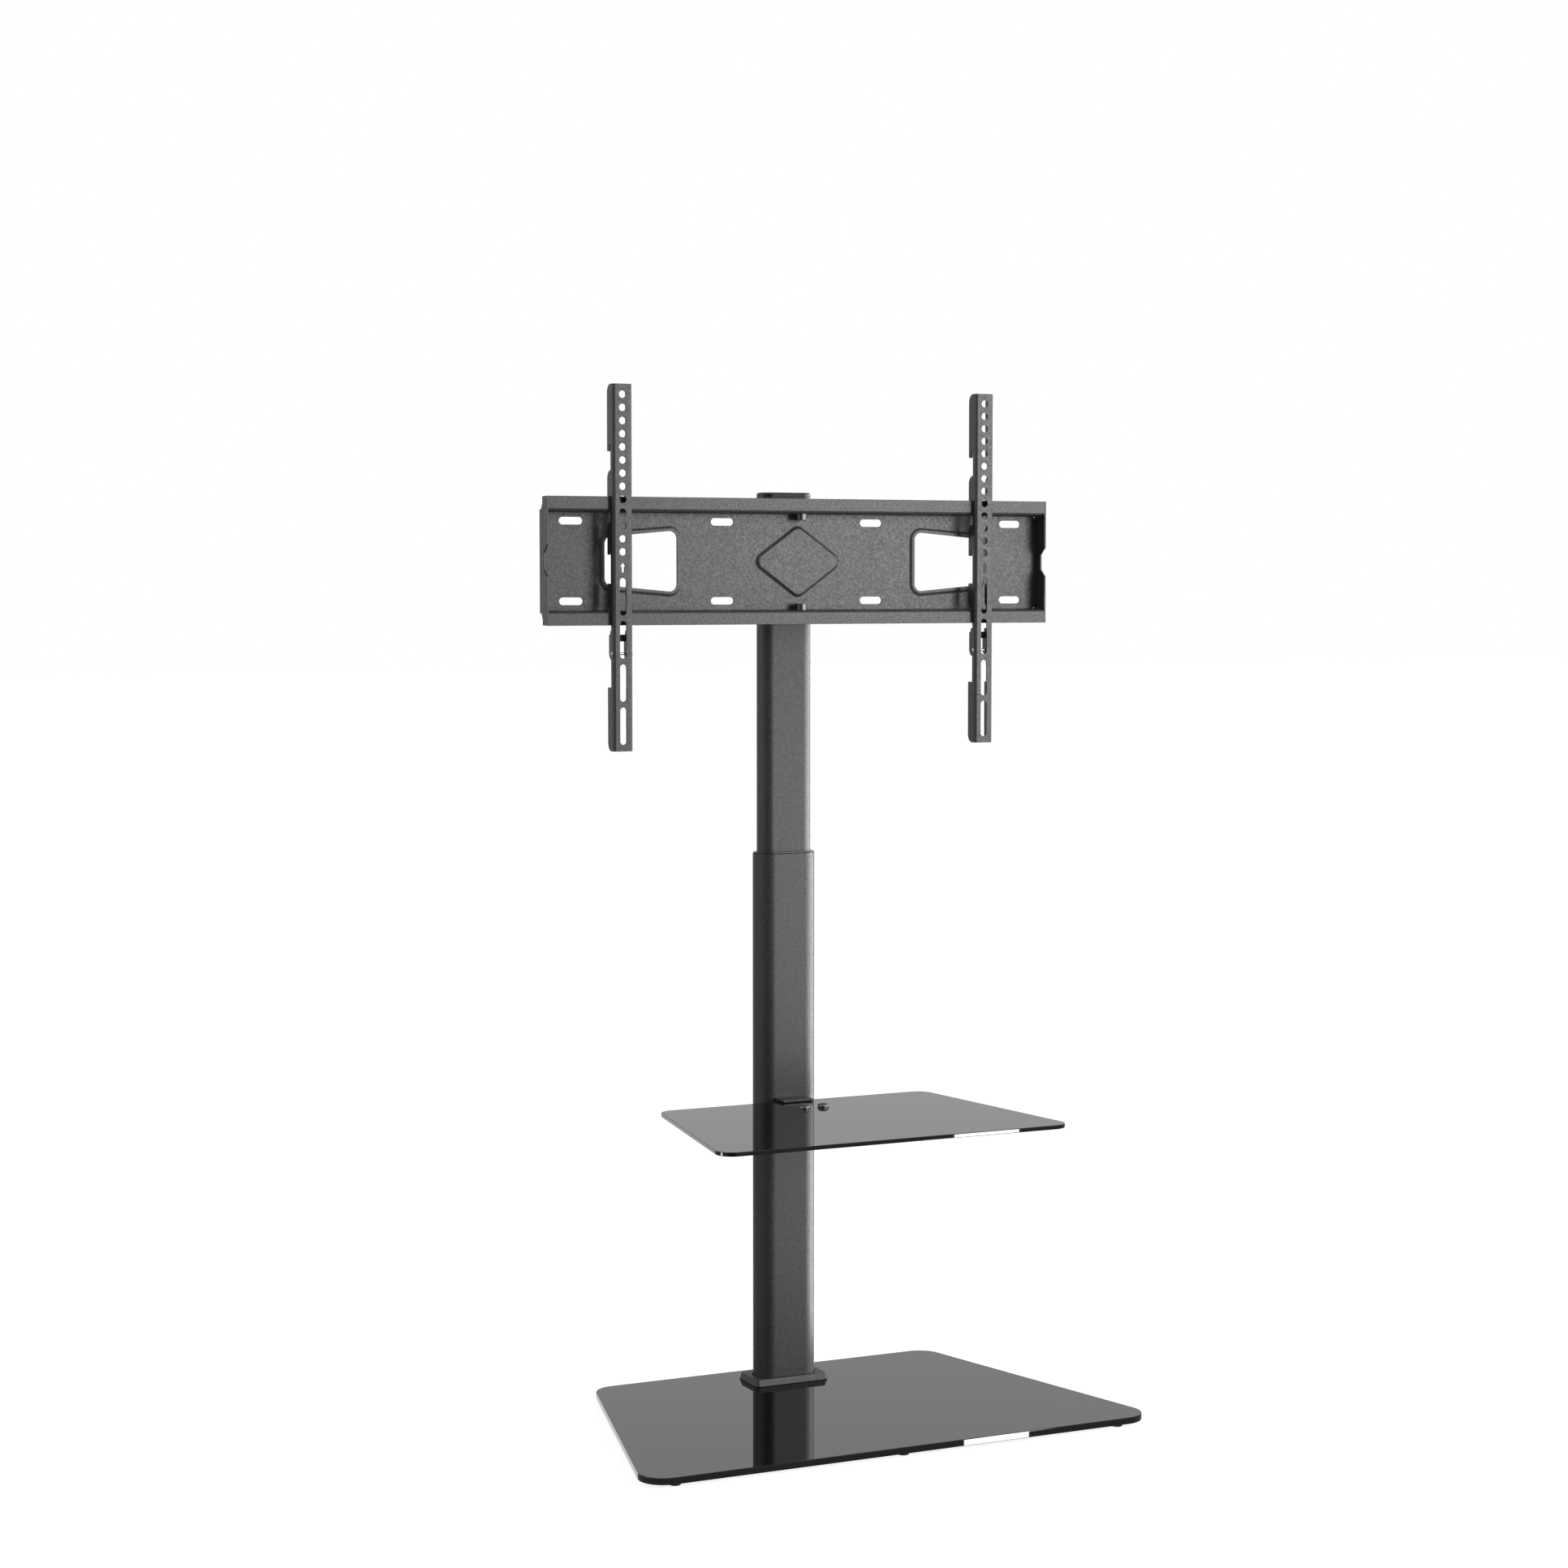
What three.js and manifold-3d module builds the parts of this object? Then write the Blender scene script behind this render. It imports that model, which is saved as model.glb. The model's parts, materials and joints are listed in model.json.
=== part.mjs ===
// Floor stand for a television: a glass base, a column that slides up and down,
// a glass shelf and a swivel mount.
// Millimetres, +Z up, +Y towards the back. The origin is on the floor, under the middle of the base glass.
import * as THREE from "three";
import { mergeVertices } from "three/addons/utils/BufferGeometryUtils.js";
import Module from "manifold-3d";

const wasm = await Module();
wasm.setup();

// Fits shared by all pieces
const seatGap = 0.3; // between pieces that bear on each other
const pinGap = 0.15; // round a hinge pin
const overrun = 4; // how far a cut runs past the face it starts from
const turnSteps = 32; // straight steps in a full turn of a tube or a glass corner
const bendSteps = 12; // the same in the bends and rounds of sheet metal
const holeSteps = 12; // the same round a screw and its hole
const crownSteps = 3; // steps in the round of the tube's cap
const domeSteps = 5; // steps in the dome of a screw's head

// Base glass, measured from the column's axis
const baseFrontWidth = 666.5;
const baseBackWidth = 461.9;
const baseDepth = 400;
const baseBehindColumn = 58.8;
const baseThickness = 8;
const baseCornerRadius = 30;
const glassEdge = 0.8; // ground edge of both glasses

// Feet
const footHeight = 5; // floor to glass
const footDiameter = 14;
const footEdge = 0.8;
const frontFootInset = 17;
const frontFootSideInset = 46.25;
const backFootInset = 26;
const backFootSideInset = 30;

// Steel plate under the glass and the gaskets
const underPlateLength = 112;
const underPlateWidth = 64;
const underPlateThickness = 3;
const underPlateCorner = 10;
const gasketThickness = 0.8;
const gasketInset = 1.5;

// Bolts that come up through the glass into the column's foot
const baseBoltDiameter = 6;
const baseBoltHeadDiameter = 11;
const baseBoltSpacingX = 48;
const baseBoltSpacingY = 16;
const baseBoltProud = 2;
const baseGlassHoleDiameter = 10;
const hexSocket = 4; // across flats, in the flat and domed heads

// Collar round the column's foot
const collarLength = 100;
const collarWidth = 54;
const collarHeight = 8;
const collarBevel = 3;
const collarCorner = 6;
const collarSlit = 1;

// Outer tube
const outerTubeWidth = 80;
const outerTubeDepth = 40;
const tubeWall = 1.5;
const columnMouth = 674; // top of the bushing's lip above the floor
const footPlateThickness = 8;

// Bushing in the column's mouth
const bushingLip = 1.5;
const bushingLipInset = 0.6;
const bushingLength = 24;

// Height lock bolts in the column's back
const lockBoltDiameter = 8;
const lockBoltHeadFlats = 13;
const lockBoltHeadHeight = 5.3;
const lockNutHeight = 6.5;
const lockBoltBelowMouth = 44;
const lockBoltSpacing = 30;

// Inner tube, its cap and its glide
const innerTubeWidth = 70;
const innerTubeDepth = 30;
const innerTubeInsertion = 169; // length inside the outer tube
const capHeight = 4;
const capRound = 3;
const capPlug = 14;
const capAbovePlate = 8.6;
const glideFlange = 6;
const glidePlug = 12;
const glideWall = 5;

// Shelf glass
const shelfFrontWidth = 456.9;
const shelfBackWidth = 361.2;
const shelfDepth = 290.9;
const shelfThickness = 5;
const shelfTop = 367.3;
const shelfFromColumn = 8.4; // back edge to the column's face
const shelfCornerRadius = 20;

// Shelf bracket
const bracketSteel = 4;
const bracketWidth = 40;
const bracketDrop = 56; // back plate's length below the shelf's top
const bracketLipReach = 23;
const bracketLipThickness = 2.5;
const linerThickness = 0.5;
const padThickness = 1;
const tongueWidth = 52;
const tongueReach = 82;
const tongueCorner = 8;
const ribHeight = 38;
const ribReach = 58;

// Screws of the shelf and of its bracket
const shelfBoltDiameter = 8;
const shelfBoltHeadDiameter = 14;
const shelfBoltHeadHeight = 4.4;
const shelfBoltSpacing = 25;
const shelfBoltReach = 67; // column's face to the bolts
const shelfBushingWall = 1.2;
const nutFlats = 13;
const nutHeight = 6.5;
const boltProud = 2;
const bracketBoltDiameter = 6;
const bracketBoltHeadDiameter = 10;
const bracketBoltHeadHeight = 6;
const bracketBoltSpacing = 24;
const bracketBoltBelowShelf = 38;
const rivetNutDiameter = 9;
const rivetNutLength = 10;
const rivetNutWall = 1.5;

// Mount plate
const plateWidth = 668.8;
const plateHeight = 151.4;
const plateCentre = 1030.1; // above the floor
const plateSteel = 2.3;
const plateReach = 62.8; // column's axis to the front of the lips
const plateDepth = 25.3;
const topLip = 15.3;
const bottomLip = 14.2;
const bendRadius = 1.5; // inside of a bend in sheet
const earDepth = 14;
const earChamferDepth = 4;
const earChamferHeight = 7;
const notchDepth = 10.5;
const notchMouth = 36.8;
const notchFloor = 19.2;
const reliefHeight = 4.5;
const reliefWidth = 2;
const reliefEdge = 1; // metal left beside a relief hole
const endBendRadius = 3; // outside of the bend from the web to an end wall

// Pressed diamond, windows and slots of the mount plate
const diamondWidth = 130;
const diamondHeight = 92.6;
const diamondRise = 2.5;
const diamondCorner = 12;
const windowInnerX = 160;
const windowOuterX = 253;
const windowInnerHeight = 73.6;
const windowOuterHeight = 57;
const windowCorner = 9;
const windowBead = 7;
const windowBeadRise = 1.5;
const slotLength = 30;
const slotWidth = 9;
const slotInnerX = 100;
const slotEndInset = 39.4; // plate's end to the middle of the outer slots
const slotRowSpacing = 94.6;

// Swivel
const swivelReach = 50; // column's axis to the swivel axis
const swivelBoltDiameter = 8;
const swivelHeadDiameter = 15;
const swivelHeadHeight = 8;
const swivelWasherDiameter = 18;
const swivelWasherThickness = 1;
const swivelSteel = 4;
const swivelTongueEnd = 9; // radius of the tongue's end
const swivelBracketWidth = 40;
const swivelNutHeight = 5;
const swivelBoltProud = 0.8;
const tubeBoltDiameter = 8;
const tubeBoltHeadHeight = 5;
const tubeBoltSpacing = 60;

// Arms
const armWidth = 25;
const armSteel = 2;
const armLength = 431.2;
const armEndInset = 92.7; // plate's end to the middle of an arm
const armRise = 131.4; // top of the arm above the plate's top lip
const armStandoff = 8.2; // arm's face ahead of the lips
const cheekDepth = 18.2;
const cheekCorner = 10;
const armHoleDiameter = 8.8;
const armHolePitch = 15.34;
const armHoleCount = 13;
const armFirstHole = 12.3; // below the arm's top
const armSlotLength = 44;
const armSlotWidth = 8;
const armSlotPitch = 50.8;
const armSlotCount = 4;
const armFirstSlot = 226.9;
const arrowTop = 208.4;
const arrowHeight = 12.1;
const arrowHeadWidth = 6.6;
const arrowHeadHeight = 5.4;
const arrowShaftWidth = 3;

// Hooks in the arms' cheeks
const hookPitch = 60.6;
const hookLength = 8;
const hookPlay = 0.8; // behind the lip
const hookTipRound = 1.5;
const hookNeck = 30.2; // narrow stretch below a hook's slit
const blockAboveFlange = 1.5;
const blockHeight = 31.2;
const lowerCheekHeight = 75.4;

// Latches
const latchSteel = 1.5;
const latchPlay = 6.4; // beak's tip below the lower lip
const latchHeight = 34.8;
const latchFrontRound = 5;
const latchBackRound = 9;
const latchBeakHeight = 4.5;
const latchBeakThickness = 5.1;
const latchReach = 9.5; // latch's back behind the lower lip
const latchPinDrop = 27; // pin below the beak's tip
const latchPinInset = 3; // pin behind the arm's inner face
const latchPinDiameter = 3;
const latchPinHeadDiameter = 5;
const latchPinHeadHeight = 0.8;
const latchLeanShare = 0.344; // how far its front leans back for each unit of height
const latchWebHeight = 8;

// Places worked out from the sizes
const columnY = baseDepth / 2 - baseBehindColumn;
const baseBackY = baseBehindColumn;
const baseFrontY = baseBackY - baseDepth;
const glassBottom = footHeight;
const baseTop = glassBottom + baseThickness;
const underGasketTop = glassBottom - seatGap;
const underPlateTop = underGasketTop - gasketThickness - seatGap;
const underPlateBottom = underPlateTop - underPlateThickness;
const gasketBottom = baseTop + seatGap;
const outerTubeBottom = gasketBottom + gasketThickness + seatGap;
const outerTubeTop = columnMouth - bushingLip - seatGap;
const outerFaceY = outerTubeDepth / 2;
const innerFaceY = innerTubeDepth / 2;
const innerTubeBottom = columnMouth - innerTubeInsertion;
const plateTop = plateCentre + plateHeight / 2;
const plateBottom = plateCentre - plateHeight / 2;
const topFlangeTop = plateTop - topLip;
const bottomFlangeBottom = plateBottom + bottomLip;
const lipFrontY = -plateReach;
const lipBackY = lipFrontY + plateSteel;
const webBackY = lipFrontY + plateDepth;
const webFrontY = webBackY - plateSteel;
const innerTubeTop = plateTop + capAbovePlate - capHeight - seatGap;
const shelfBackY = -outerFaceY - shelfFromColumn;
const shelfFrontY = shelfBackY - shelfDepth;
const shelfBottom = shelfTop - shelfThickness;
const shelfBoltY = -outerFaceY - shelfBoltReach;
const armX = plateWidth / 2 - armEndInset;
const armFrontY = lipFrontY - armStandoff;
const armTop = plateTop + armRise;
const armBottom = armTop - armLength;
const swivelY = -swivelReach;

// Materials
function material(color, roughness, metalness) {
  return () => new THREE.MeshStandardMaterial({ color, roughness, metalness });
}

const blackGlass = material(0x0b0c0e, 0.06, 0);
const powderCoat = material(0x1e1f21, 0.55, 0.2);
const blackPlastic = material(0x141415, 0.5, 0);
const rubber = material(0x1a1a1b, 0.85, 0);
const nylon = material(0xd8d6cf, 0.5, 0);
const blackScrew = material(0x1b1b1d, 0.35, 0.8);
const zinc = material(0xa9abad, 0.35, 1);

// Outlines

// Points on an arc about (x, y). A full turn has the given number of steps.
function arc(x, y, radius, from, to, steps = turnSteps) {
  const count = Math.max(2, Math.round((Math.abs(to - from) / (2 * Math.PI)) * steps));
  return Array.from({ length: count + 1 }, (_, i) => {
    const angle = from + ((to - from) * i) / count;
    return new THREE.Vector2(x + radius * Math.cos(angle), y + radius * Math.sin(angle));
  });
}

const circle = (x, y, diameter, steps = holeSteps) => arc(x, y, diameter / 2, 0, 2 * Math.PI, steps).slice(1);

// Points of a polygon whose corners [x, y, radius] are rounded by true arcs.
function outline(corners, steps = turnSteps) {
  const points = [];
  corners.forEach(([x, y, radius = 0], i) => {
    const corner = new THREE.Vector2(x, y);
    if (!radius) {
      points.push(corner);
      return;
    }
    const before = corners[(i + corners.length - 1) % corners.length];
    const after = corners[(i + 1) % corners.length];
    const back = new THREE.Vector2(before[0], before[1]).sub(corner).normalize();
    const on = new THREE.Vector2(after[0], after[1]).sub(corner).normalize();
    const half = Math.acos(THREE.MathUtils.clamp(back.dot(on), -1, 1)) / 2;
    const centre = back.clone().add(on).normalize().multiplyScalar(radius / Math.sin(half)).add(corner);
    const start = back.multiplyScalar(radius / Math.tan(half)).add(corner).sub(centre).angle();
    const end = on.multiplyScalar(radius / Math.tan(half)).add(corner).sub(centre).angle();
    const sweep = THREE.MathUtils.euclideanModulo(end - start + Math.PI, 2 * Math.PI) - Math.PI;
    points.push(...arc(centre.x, centre.y, radius, start, start + sweep, steps));
  });
  const same = (a, b) => a.distanceTo(b) < seatGap / 100;
  return points.filter((point, i) => !same(point, points[(i + points.length - 1) % points.length]));
}

// The same corners moved inwards, for a polygon that turns anticlockwise.
function inset(corners, distance) {
  const side = (i) => {
    const [x, y] = corners[(i + corners.length) % corners.length];
    const [nextX, nextY] = corners[(i + 1) % corners.length];
    const along = new THREE.Vector2(nextX - x, nextY - y).normalize();
    return { x: x - along.y * distance, y: y + along.x * distance, along };
  };
  return corners.map(([, , radius = 0], i) => {
    const a = side(i - 1);
    const b = side(i);
    const reach = ((b.x - a.x) * b.along.y - (b.y - a.y) * b.along.x) / a.along.cross(b.along);
    return [a.x + a.along.x * reach, a.y + a.along.y * reach, radius ? radius - distance : 0];
  });
}

// Corners of a rectangle about (x, y).
function rectangle(width, height, radius = 0, x = 0, y = 0) {
  const right = x + width / 2;
  const left = x - width / 2;
  const top = y + height / 2;
  const bottom = y - height / 2;
  return [
    [left, bottom, radius],
    [right, bottom, radius],
    [right, top, radius],
    [left, top, radius],
  ];
}

// A bar with round ends: the section of the tubes, and the shape of the slots.
const roundEnded = (width, height, x = 0, y = 0, steps = turnSteps) =>
  outline(rectangle(width, height, Math.min(width, height) / 2, x, y), steps);

// A glass sheet's corners: wider at the front than at the back.
const trapezoid = (frontWidth, backWidth, frontY, backY, radius) => [
  [-frontWidth / 2, frontY, radius],
  [frontWidth / 2, frontY, radius],
  [backWidth / 2, backY, radius],
  [-backWidth / 2, backY, radius],
];

// Corners of a folded sheet whose middle follows the path. A bend has the given radius on its inside.
function foldedSheet(path, thickness, radius) {
  const heading = (i) => {
    const [[x, y], [nextX, nextY]] = path.slice(i, i + 2);
    return new THREE.Vector2(nextX - x, nextY - y).normalize();
  };
  const face = (side) =>
    path.map(([x, y], i) => {
      const before = heading(Math.max(i - 1, 0));
      const after = heading(Math.min(i, path.length - 2));
      const turn = before.cross(after);
      const mitre = (side * thickness) / 2 / (1 + before.dot(after));
      const corner = [x - (before.y + after.y) * mitre, y + (before.x + after.x) * mitre];
      if (turn === 0) return [...corner, 0];
      return [...corner, Math.sign(turn) === side ? radius : radius + thickness];
    });
  return [...face(-1), ...face(1).reverse()];
}

// Solids

function solidOf(geometry) {
  const bare = new THREE.BufferGeometry().setAttribute("position", geometry.getAttribute("position"));
  if (geometry.index) bare.setIndex(geometry.index);
  const merged = mergeVertices(bare, seatGap / 1000);
  return new wasm.Manifold(
    new wasm.Mesh({
      numProp: 3,
      vertProperties: new Float32Array(merged.attributes.position.array),
      triVerts: new Uint32Array(merged.index.array),
    }),
  );
}

// Turns a solid drawn along +Z to stand along another axis.
// Outlines for x are drawn in (y, z), and for y in (x, z).
function layAlong(geometry, axis) {
  const x = new THREE.Vector3(1, 0, 0);
  const y = new THREE.Vector3(0, 1, 0);
  const z = new THREE.Vector3(0, 0, 1);
  if (axis === "x") geometry.applyMatrix4(new THREE.Matrix4().makeBasis(y, z, x));
  if (axis === "y") geometry.applyMatrix4(new THREE.Matrix4().makeBasis(x, z, y.clone().negate()));
  return geometry;
}

// A straight extrusion from one level to the next, with holes.
function prism(axis, points, from, to, holes = []) {
  const shape = new THREE.Shape(points);
  shape.holes = holes.map((hole) => new THREE.Path(hole));
  const geometry = new THREE.ExtrudeGeometry(shape, { depth: to - from, bevelEnabled: false });
  layAlong(geometry, axis);
  const shift = { x: [from, 0, 0], y: [0, to, 0], z: [0, 0, from] }[axis];
  return solidOf(geometry.translate(...shift));
}

// A solid between outlines of equal count at rising levels.
function loft(axis, sections) {
  const count = sections[0].points.length;
  const turned = axis === "y";
  const position = sections.flatMap(({ points, level }) => {
    const height = turned ? -level : level;
    return points.flatMap(({ x, y }) => [x, y, height]);
  });
  const index = [];
  const triangle = (a, b, c) => index.push(...(turned ? [a, c, b] : [a, b, c]));
  const last = (sections.length - 1) * count;
  const firstCap = THREE.ShapeUtils.triangulateShape(sections[0].points, []);
  const lastCap = THREE.ShapeUtils.triangulateShape(sections.at(-1).points, []);
  firstCap.forEach(([a, b, c]) => triangle(c, b, a));
  lastCap.forEach(([a, b, c]) => triangle(last + a, last + b, last + c));
  for (let ring = 0; ring < last; ring += count) {
    for (let i = 0; i < count; i += 1) {
      const next = (i + 1) % count;
      triangle(ring + i, ring + next, ring + count + next);
      triangle(ring + i, ring + count + next, ring + count + i);
    }
  }
  const geometry = new THREE.BufferGeometry();
  geometry.setAttribute("position", new THREE.Float32BufferAttribute(position, 3));
  return solidOf(layAlong(geometry.setIndex(index), axis));
}

// A turned piece about +Z, from [radius, height] pairs.
// They rise from the axis to the axis, or close on themselves.
function turned(profile, [x, y, z] = [0, 0, 0]) {
  const points = profile.map(([radius, height]) => new THREE.Vector2(radius, height));
  return solidOf(new THREE.LatheGeometry(points, holeSteps).rotateX(Math.PI / 2).translate(x, y, z));
}

const group = new THREE.Group();
group.position.y = columnY;

// Adds a named piece at a place, turned from +Z towards the given direction.
function add(name, solid, finish, place = [0, 0, 0], direction = [0, 0, 1]) {
  const { vertProperties, triVerts } = solid.getMesh();
  const geometry = new THREE.BufferGeometry();
  geometry.setAttribute("position", new THREE.BufferAttribute(new Float32Array(vertProperties), 3));
  geometry.setIndex(new THREE.BufferAttribute(new Uint32Array(triVerts), 1));
  const flat = geometry.toNonIndexed();
  flat.computeVertexNormals();
  const mesh = new THREE.Mesh(flat, finish());
  mesh.name = name;
  mesh.position.set(...place);
  mesh.quaternion.setFromUnitVectors(new THREE.Vector3(0, 0, 1), new THREE.Vector3(...direction));
  group.add(mesh);
}

const cutAll = (solid, cutters) => cutters.reduce((rest, cutter) => rest.subtract(cutter), solid);
const joinAll = (solids) => solids.reduce((whole, piece) => whole.add(piece));
const hexagon = (flats) => circle(0, 0, flats / Math.cos(Math.PI / 6), 6);

// A glass sheet with ground edges and drilled holes.
function glassSheet(corners, bottom, thickness, holes) {
  const full = outline(corners);
  const ground = outline(inset(corners, glassEdge));
  const sheet = loft("z", [
    { points: ground, level: bottom },
    { points: full, level: bottom + glassEdge },
    { points: full, level: bottom + thickness - glassEdge },
    { points: ground, level: bottom + thickness },
  ]);
  return cutAll(sheet, holes.map((hole) => prism("z", hole, bottom - overrun, bottom + thickness + overrun)));
}

// A cap screw with its head below the origin's plane and its shank above it.
function capScrew(diameter, headDiameter, headHeight, length) {
  const edge = headHeight / 10;
  const screw = turned([
    [0, -headHeight],
    [headDiameter / 2 - edge, -headHeight],
    [headDiameter / 2, edge - headHeight],
    [headDiameter / 2, 0],
    [diameter / 2, 0],
    [diameter / 2, length - edge],
    [diameter / 2 - edge, length],
    [0, length],
  ]);
  const socket = prism("z", hexagon(hexSocket), -headHeight - overrun, -headHeight / 2);
  return screw.subtract(socket);
}

// A nut that lies above the origin's plane.
function hexNut(flats, height, boreDiameter) {
  return prism("z", hexagon(flats), 0, height, [circle(0, 0, boreDiameter)]);
}

const ring = (outerDiameter, innerDiameter, height) =>
  prism("z", circle(0, 0, outerDiameter, 2 * holeSteps), 0, height, [circle(0, 0, innerDiameter)]);

// Base: glass, feet, plate, gaskets, bolts and collar

const baseBoltPlaces = [-1, 1].flatMap((sideY) =>
  [-1, 1].map((sideX) => [(sideX * baseBoltSpacingX) / 2, (sideY * baseBoltSpacingY) / 2]),
);

function addBaseGlass() {
  const corners = trapezoid(baseFrontWidth, baseBackWidth, baseFrontY, baseBackY, baseCornerRadius);
  const holes = baseBoltPlaces.map(([x, y]) => circle(x, y, baseGlassHoleDiameter));
  add("base_glass", glassSheet(corners, glassBottom, baseThickness, holes), blackGlass);
}

function addFeet() {
  const radius = footDiameter / 2;
  const height = footHeight - seatGap;
  const foot = turned([
    [0, 0],
    [radius - footEdge, 0],
    [radius, footEdge],
    [radius, height],
    [0, height],
  ]);
  const frontX = baseFrontWidth / 2 - frontFootSideInset;
  const frontY = baseFrontY + frontFootInset;
  const backX = baseBackWidth / 2 - backFootSideInset;
  const backY = baseBackY - backFootInset;
  add("foot_front_left", foot, rubber, [-frontX, frontY, 0]);
  add("foot_front_middle", foot, rubber, [0, frontY, 0]);
  add("foot_front_right", foot, rubber, [frontX, frontY, 0]);
  add("foot_back_left", foot, rubber, [-backX, backY, 0]);
  add("foot_back_right", foot, rubber, [backX, backY, 0]);
}

function addBasePlate() {
  const headRadius = baseBoltHeadDiameter / 2 + seatGap;
  const holeRadius = baseBoltDiameter / 2 + seatGap;
  const countersink = [
    [0, -overrun],
    [headRadius, -overrun],
    [headRadius, 0],
    [holeRadius, headRadius - holeRadius],
    [holeRadius, underPlateThickness + overrun],
    [0, underPlateThickness + overrun],
  ];
  const plateCorners = rectangle(underPlateLength, underPlateWidth, underPlateCorner);
  const plate = baseBoltPlaces.reduce(
    (rest, [x, y]) => rest.subtract(turned(countersink, [x, y, underPlateBottom])),
    prism("z", outline(plateCorners, bendSteps), underPlateBottom, underPlateTop),
  );
  add("base_under_plate", plate, powderCoat);
  const holes = baseBoltPlaces.map(([x, y]) => circle(x, y, baseGlassHoleDiameter));
  const gasketPoints = outline(inset(plateCorners, gasketInset), bendSteps);
  const underGasket = prism("z", gasketPoints, underGasketTop - gasketThickness, underGasketTop, holes);
  add("base_under_gasket", underGasket, rubber);
  const foot = roundEnded(outerTubeWidth, outerTubeDepth);
  add("base_gasket", prism("z", foot, gasketBottom, gasketBottom + gasketThickness, holes), rubber);
}

function addBaseBolts() {
  const radius = baseBoltDiameter / 2;
  const headRadius = baseBoltHeadDiameter / 2;
  const sunk = seatGap / 2;
  const top = outerTubeBottom + footPlateThickness + baseBoltProud;
  const bolt = turned([
    [0, 0],
    [headRadius, 0],
    [radius, headRadius - radius],
    [radius, top - underPlateBottom - sunk],
    [0, top - underPlateBottom - sunk],
  ]).subtract(prism("z", hexagon(hexSocket), -overrun, (headRadius - radius) / 2));
  baseBoltPlaces.forEach(([x, y], i) => {
    add(`base_bolt_${i + 1}`, bolt, zinc, [x, y, underPlateBottom + sunk]);
  });
}

function addCollar() {
  const corners = rectangle(collarLength, collarWidth, collarCorner);
  const bottom = baseTop + seatGap;
  const top = bottom + collarHeight;
  const block = loft("z", [
    { points: outline(corners, bendSteps), level: bottom },
    { points: outline(inset(corners, collarBevel), bendSteps), level: top },
  ]);
  const opening = roundEnded(outerTubeWidth + 2 * collarSlit, outerTubeDepth + 2 * collarSlit);
  add("base_collar", block.subtract(prism("z", opening, bottom - overrun, top + overrun)), blackPlastic);
}

// Column: outer tube, bushing, lock bolts, inner tube, cap and glide

const boreOf = (width, depth, gap) => roundEnded(width - 2 * (tubeWall + gap), depth - 2 * (tubeWall + gap));
const outerBore = (gap) => boreOf(outerTubeWidth, outerTubeDepth, gap);
const innerBore = (gap) => boreOf(innerTubeWidth, innerTubeDepth, gap);
const lockBoltLevels = [0, 1].map((i) => columnMouth - lockBoltBelowMouth - i * lockBoltSpacing);
const bracketBoltLevel = shelfTop - bracketBoltBelowShelf;
const bracketBoltSides = [-1, 1].map((side) => (side * bracketBoltSpacing) / 2);

function addOuterTube() {
  const outside = roundEnded(outerTubeWidth, outerTubeDepth);
  const tube = prism("z", outside, outerTubeBottom, outerTubeTop, [outerBore(0)]);
  const footTop = outerTubeBottom + footPlateThickness;
  const boltHoles = baseBoltPlaces.map(([x, y]) => circle(x, y, baseBoltDiameter + 2 * seatGap));
  const foot = prism("z", outerBore(-tubeWall / 2), outerTubeBottom, footTop, boltHoles);
  const nuts = lockBoltLevels.map((level) => {
    const points = hexagon(lockBoltHeadFlats).map(({ x, y }) => new THREE.Vector2(x, y + level));
    return prism("y", points, outerFaceY - tubeWall / 2, outerFaceY + lockNutHeight);
  });
  const lockHoles = lockBoltLevels.map((level) =>
    prism("y", circle(0, level, lockBoltDiameter + 2 * seatGap), 0, outerFaceY + lockNutHeight + overrun),
  );
  const bracketHoles = bracketBoltSides.map((x) =>
    prism("y", circle(x, bracketBoltLevel, rivetNutDiameter + 2 * seatGap), -outerFaceY - overrun, 0),
  );
  add("outer_tube", cutAll(joinAll([tube, foot, ...nuts]), [...lockHoles, ...bracketHoles]), powderCoat);
}

function addBushing() {
  const bore = roundEnded(innerTubeWidth + 2 * seatGap, innerTubeDepth + 2 * seatGap);
  const lipPoints = roundEnded(outerTubeWidth - 2 * bushingLipInset, outerTubeDepth - 2 * bushingLipInset);
  const lip = prism("z", lipPoints, columnMouth - bushingLip, columnMouth, [bore]);
  const sleeveBottom = columnMouth - bushingLength;
  const sleeve = prism("z", outerBore(seatGap), sleeveBottom, columnMouth - bushingLip / 2, [bore]);
  add("tube_bushing", lip.add(sleeve), blackPlastic);
}

function addLockBolts() {
  const tip = innerFaceY + seatGap;
  const headFace = outerFaceY + lockNutHeight + seatGap;
  const radius = lockBoltDiameter / 2;
  const shank = prism("z", circle(0, 0, 2 * radius), 0, headFace - tip + lockBoltHeadHeight / 2);
  const head = prism("z", hexagon(lockBoltHeadFlats), headFace - tip, headFace - tip + lockBoltHeadHeight);
  const names = ["height_lock_bolt_upper", "height_lock_bolt_lower"];
  lockBoltLevels.forEach((level, i) => {
    add(names[i], shank.add(head), blackScrew, [0, tip, level], [0, 1, 0]);
  });
}

const tubeBoltLevels = [1, -1].map((side) => plateCentre + (side * tubeBoltSpacing) / 2);

function addInnerTube() {
  const outside = roundEnded(innerTubeWidth, innerTubeDepth);
  const tube = prism("z", outside, innerTubeBottom, innerTubeTop, [innerBore(0)]);
  const holes = tubeBoltLevels.map((level) =>
    prism("y", circle(0, level, tubeBoltDiameter + 2 * seatGap), -innerFaceY - overrun, innerFaceY + overrun),
  );
  add("inner_tube", cutAll(tube, holes), powderCoat);
}

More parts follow.
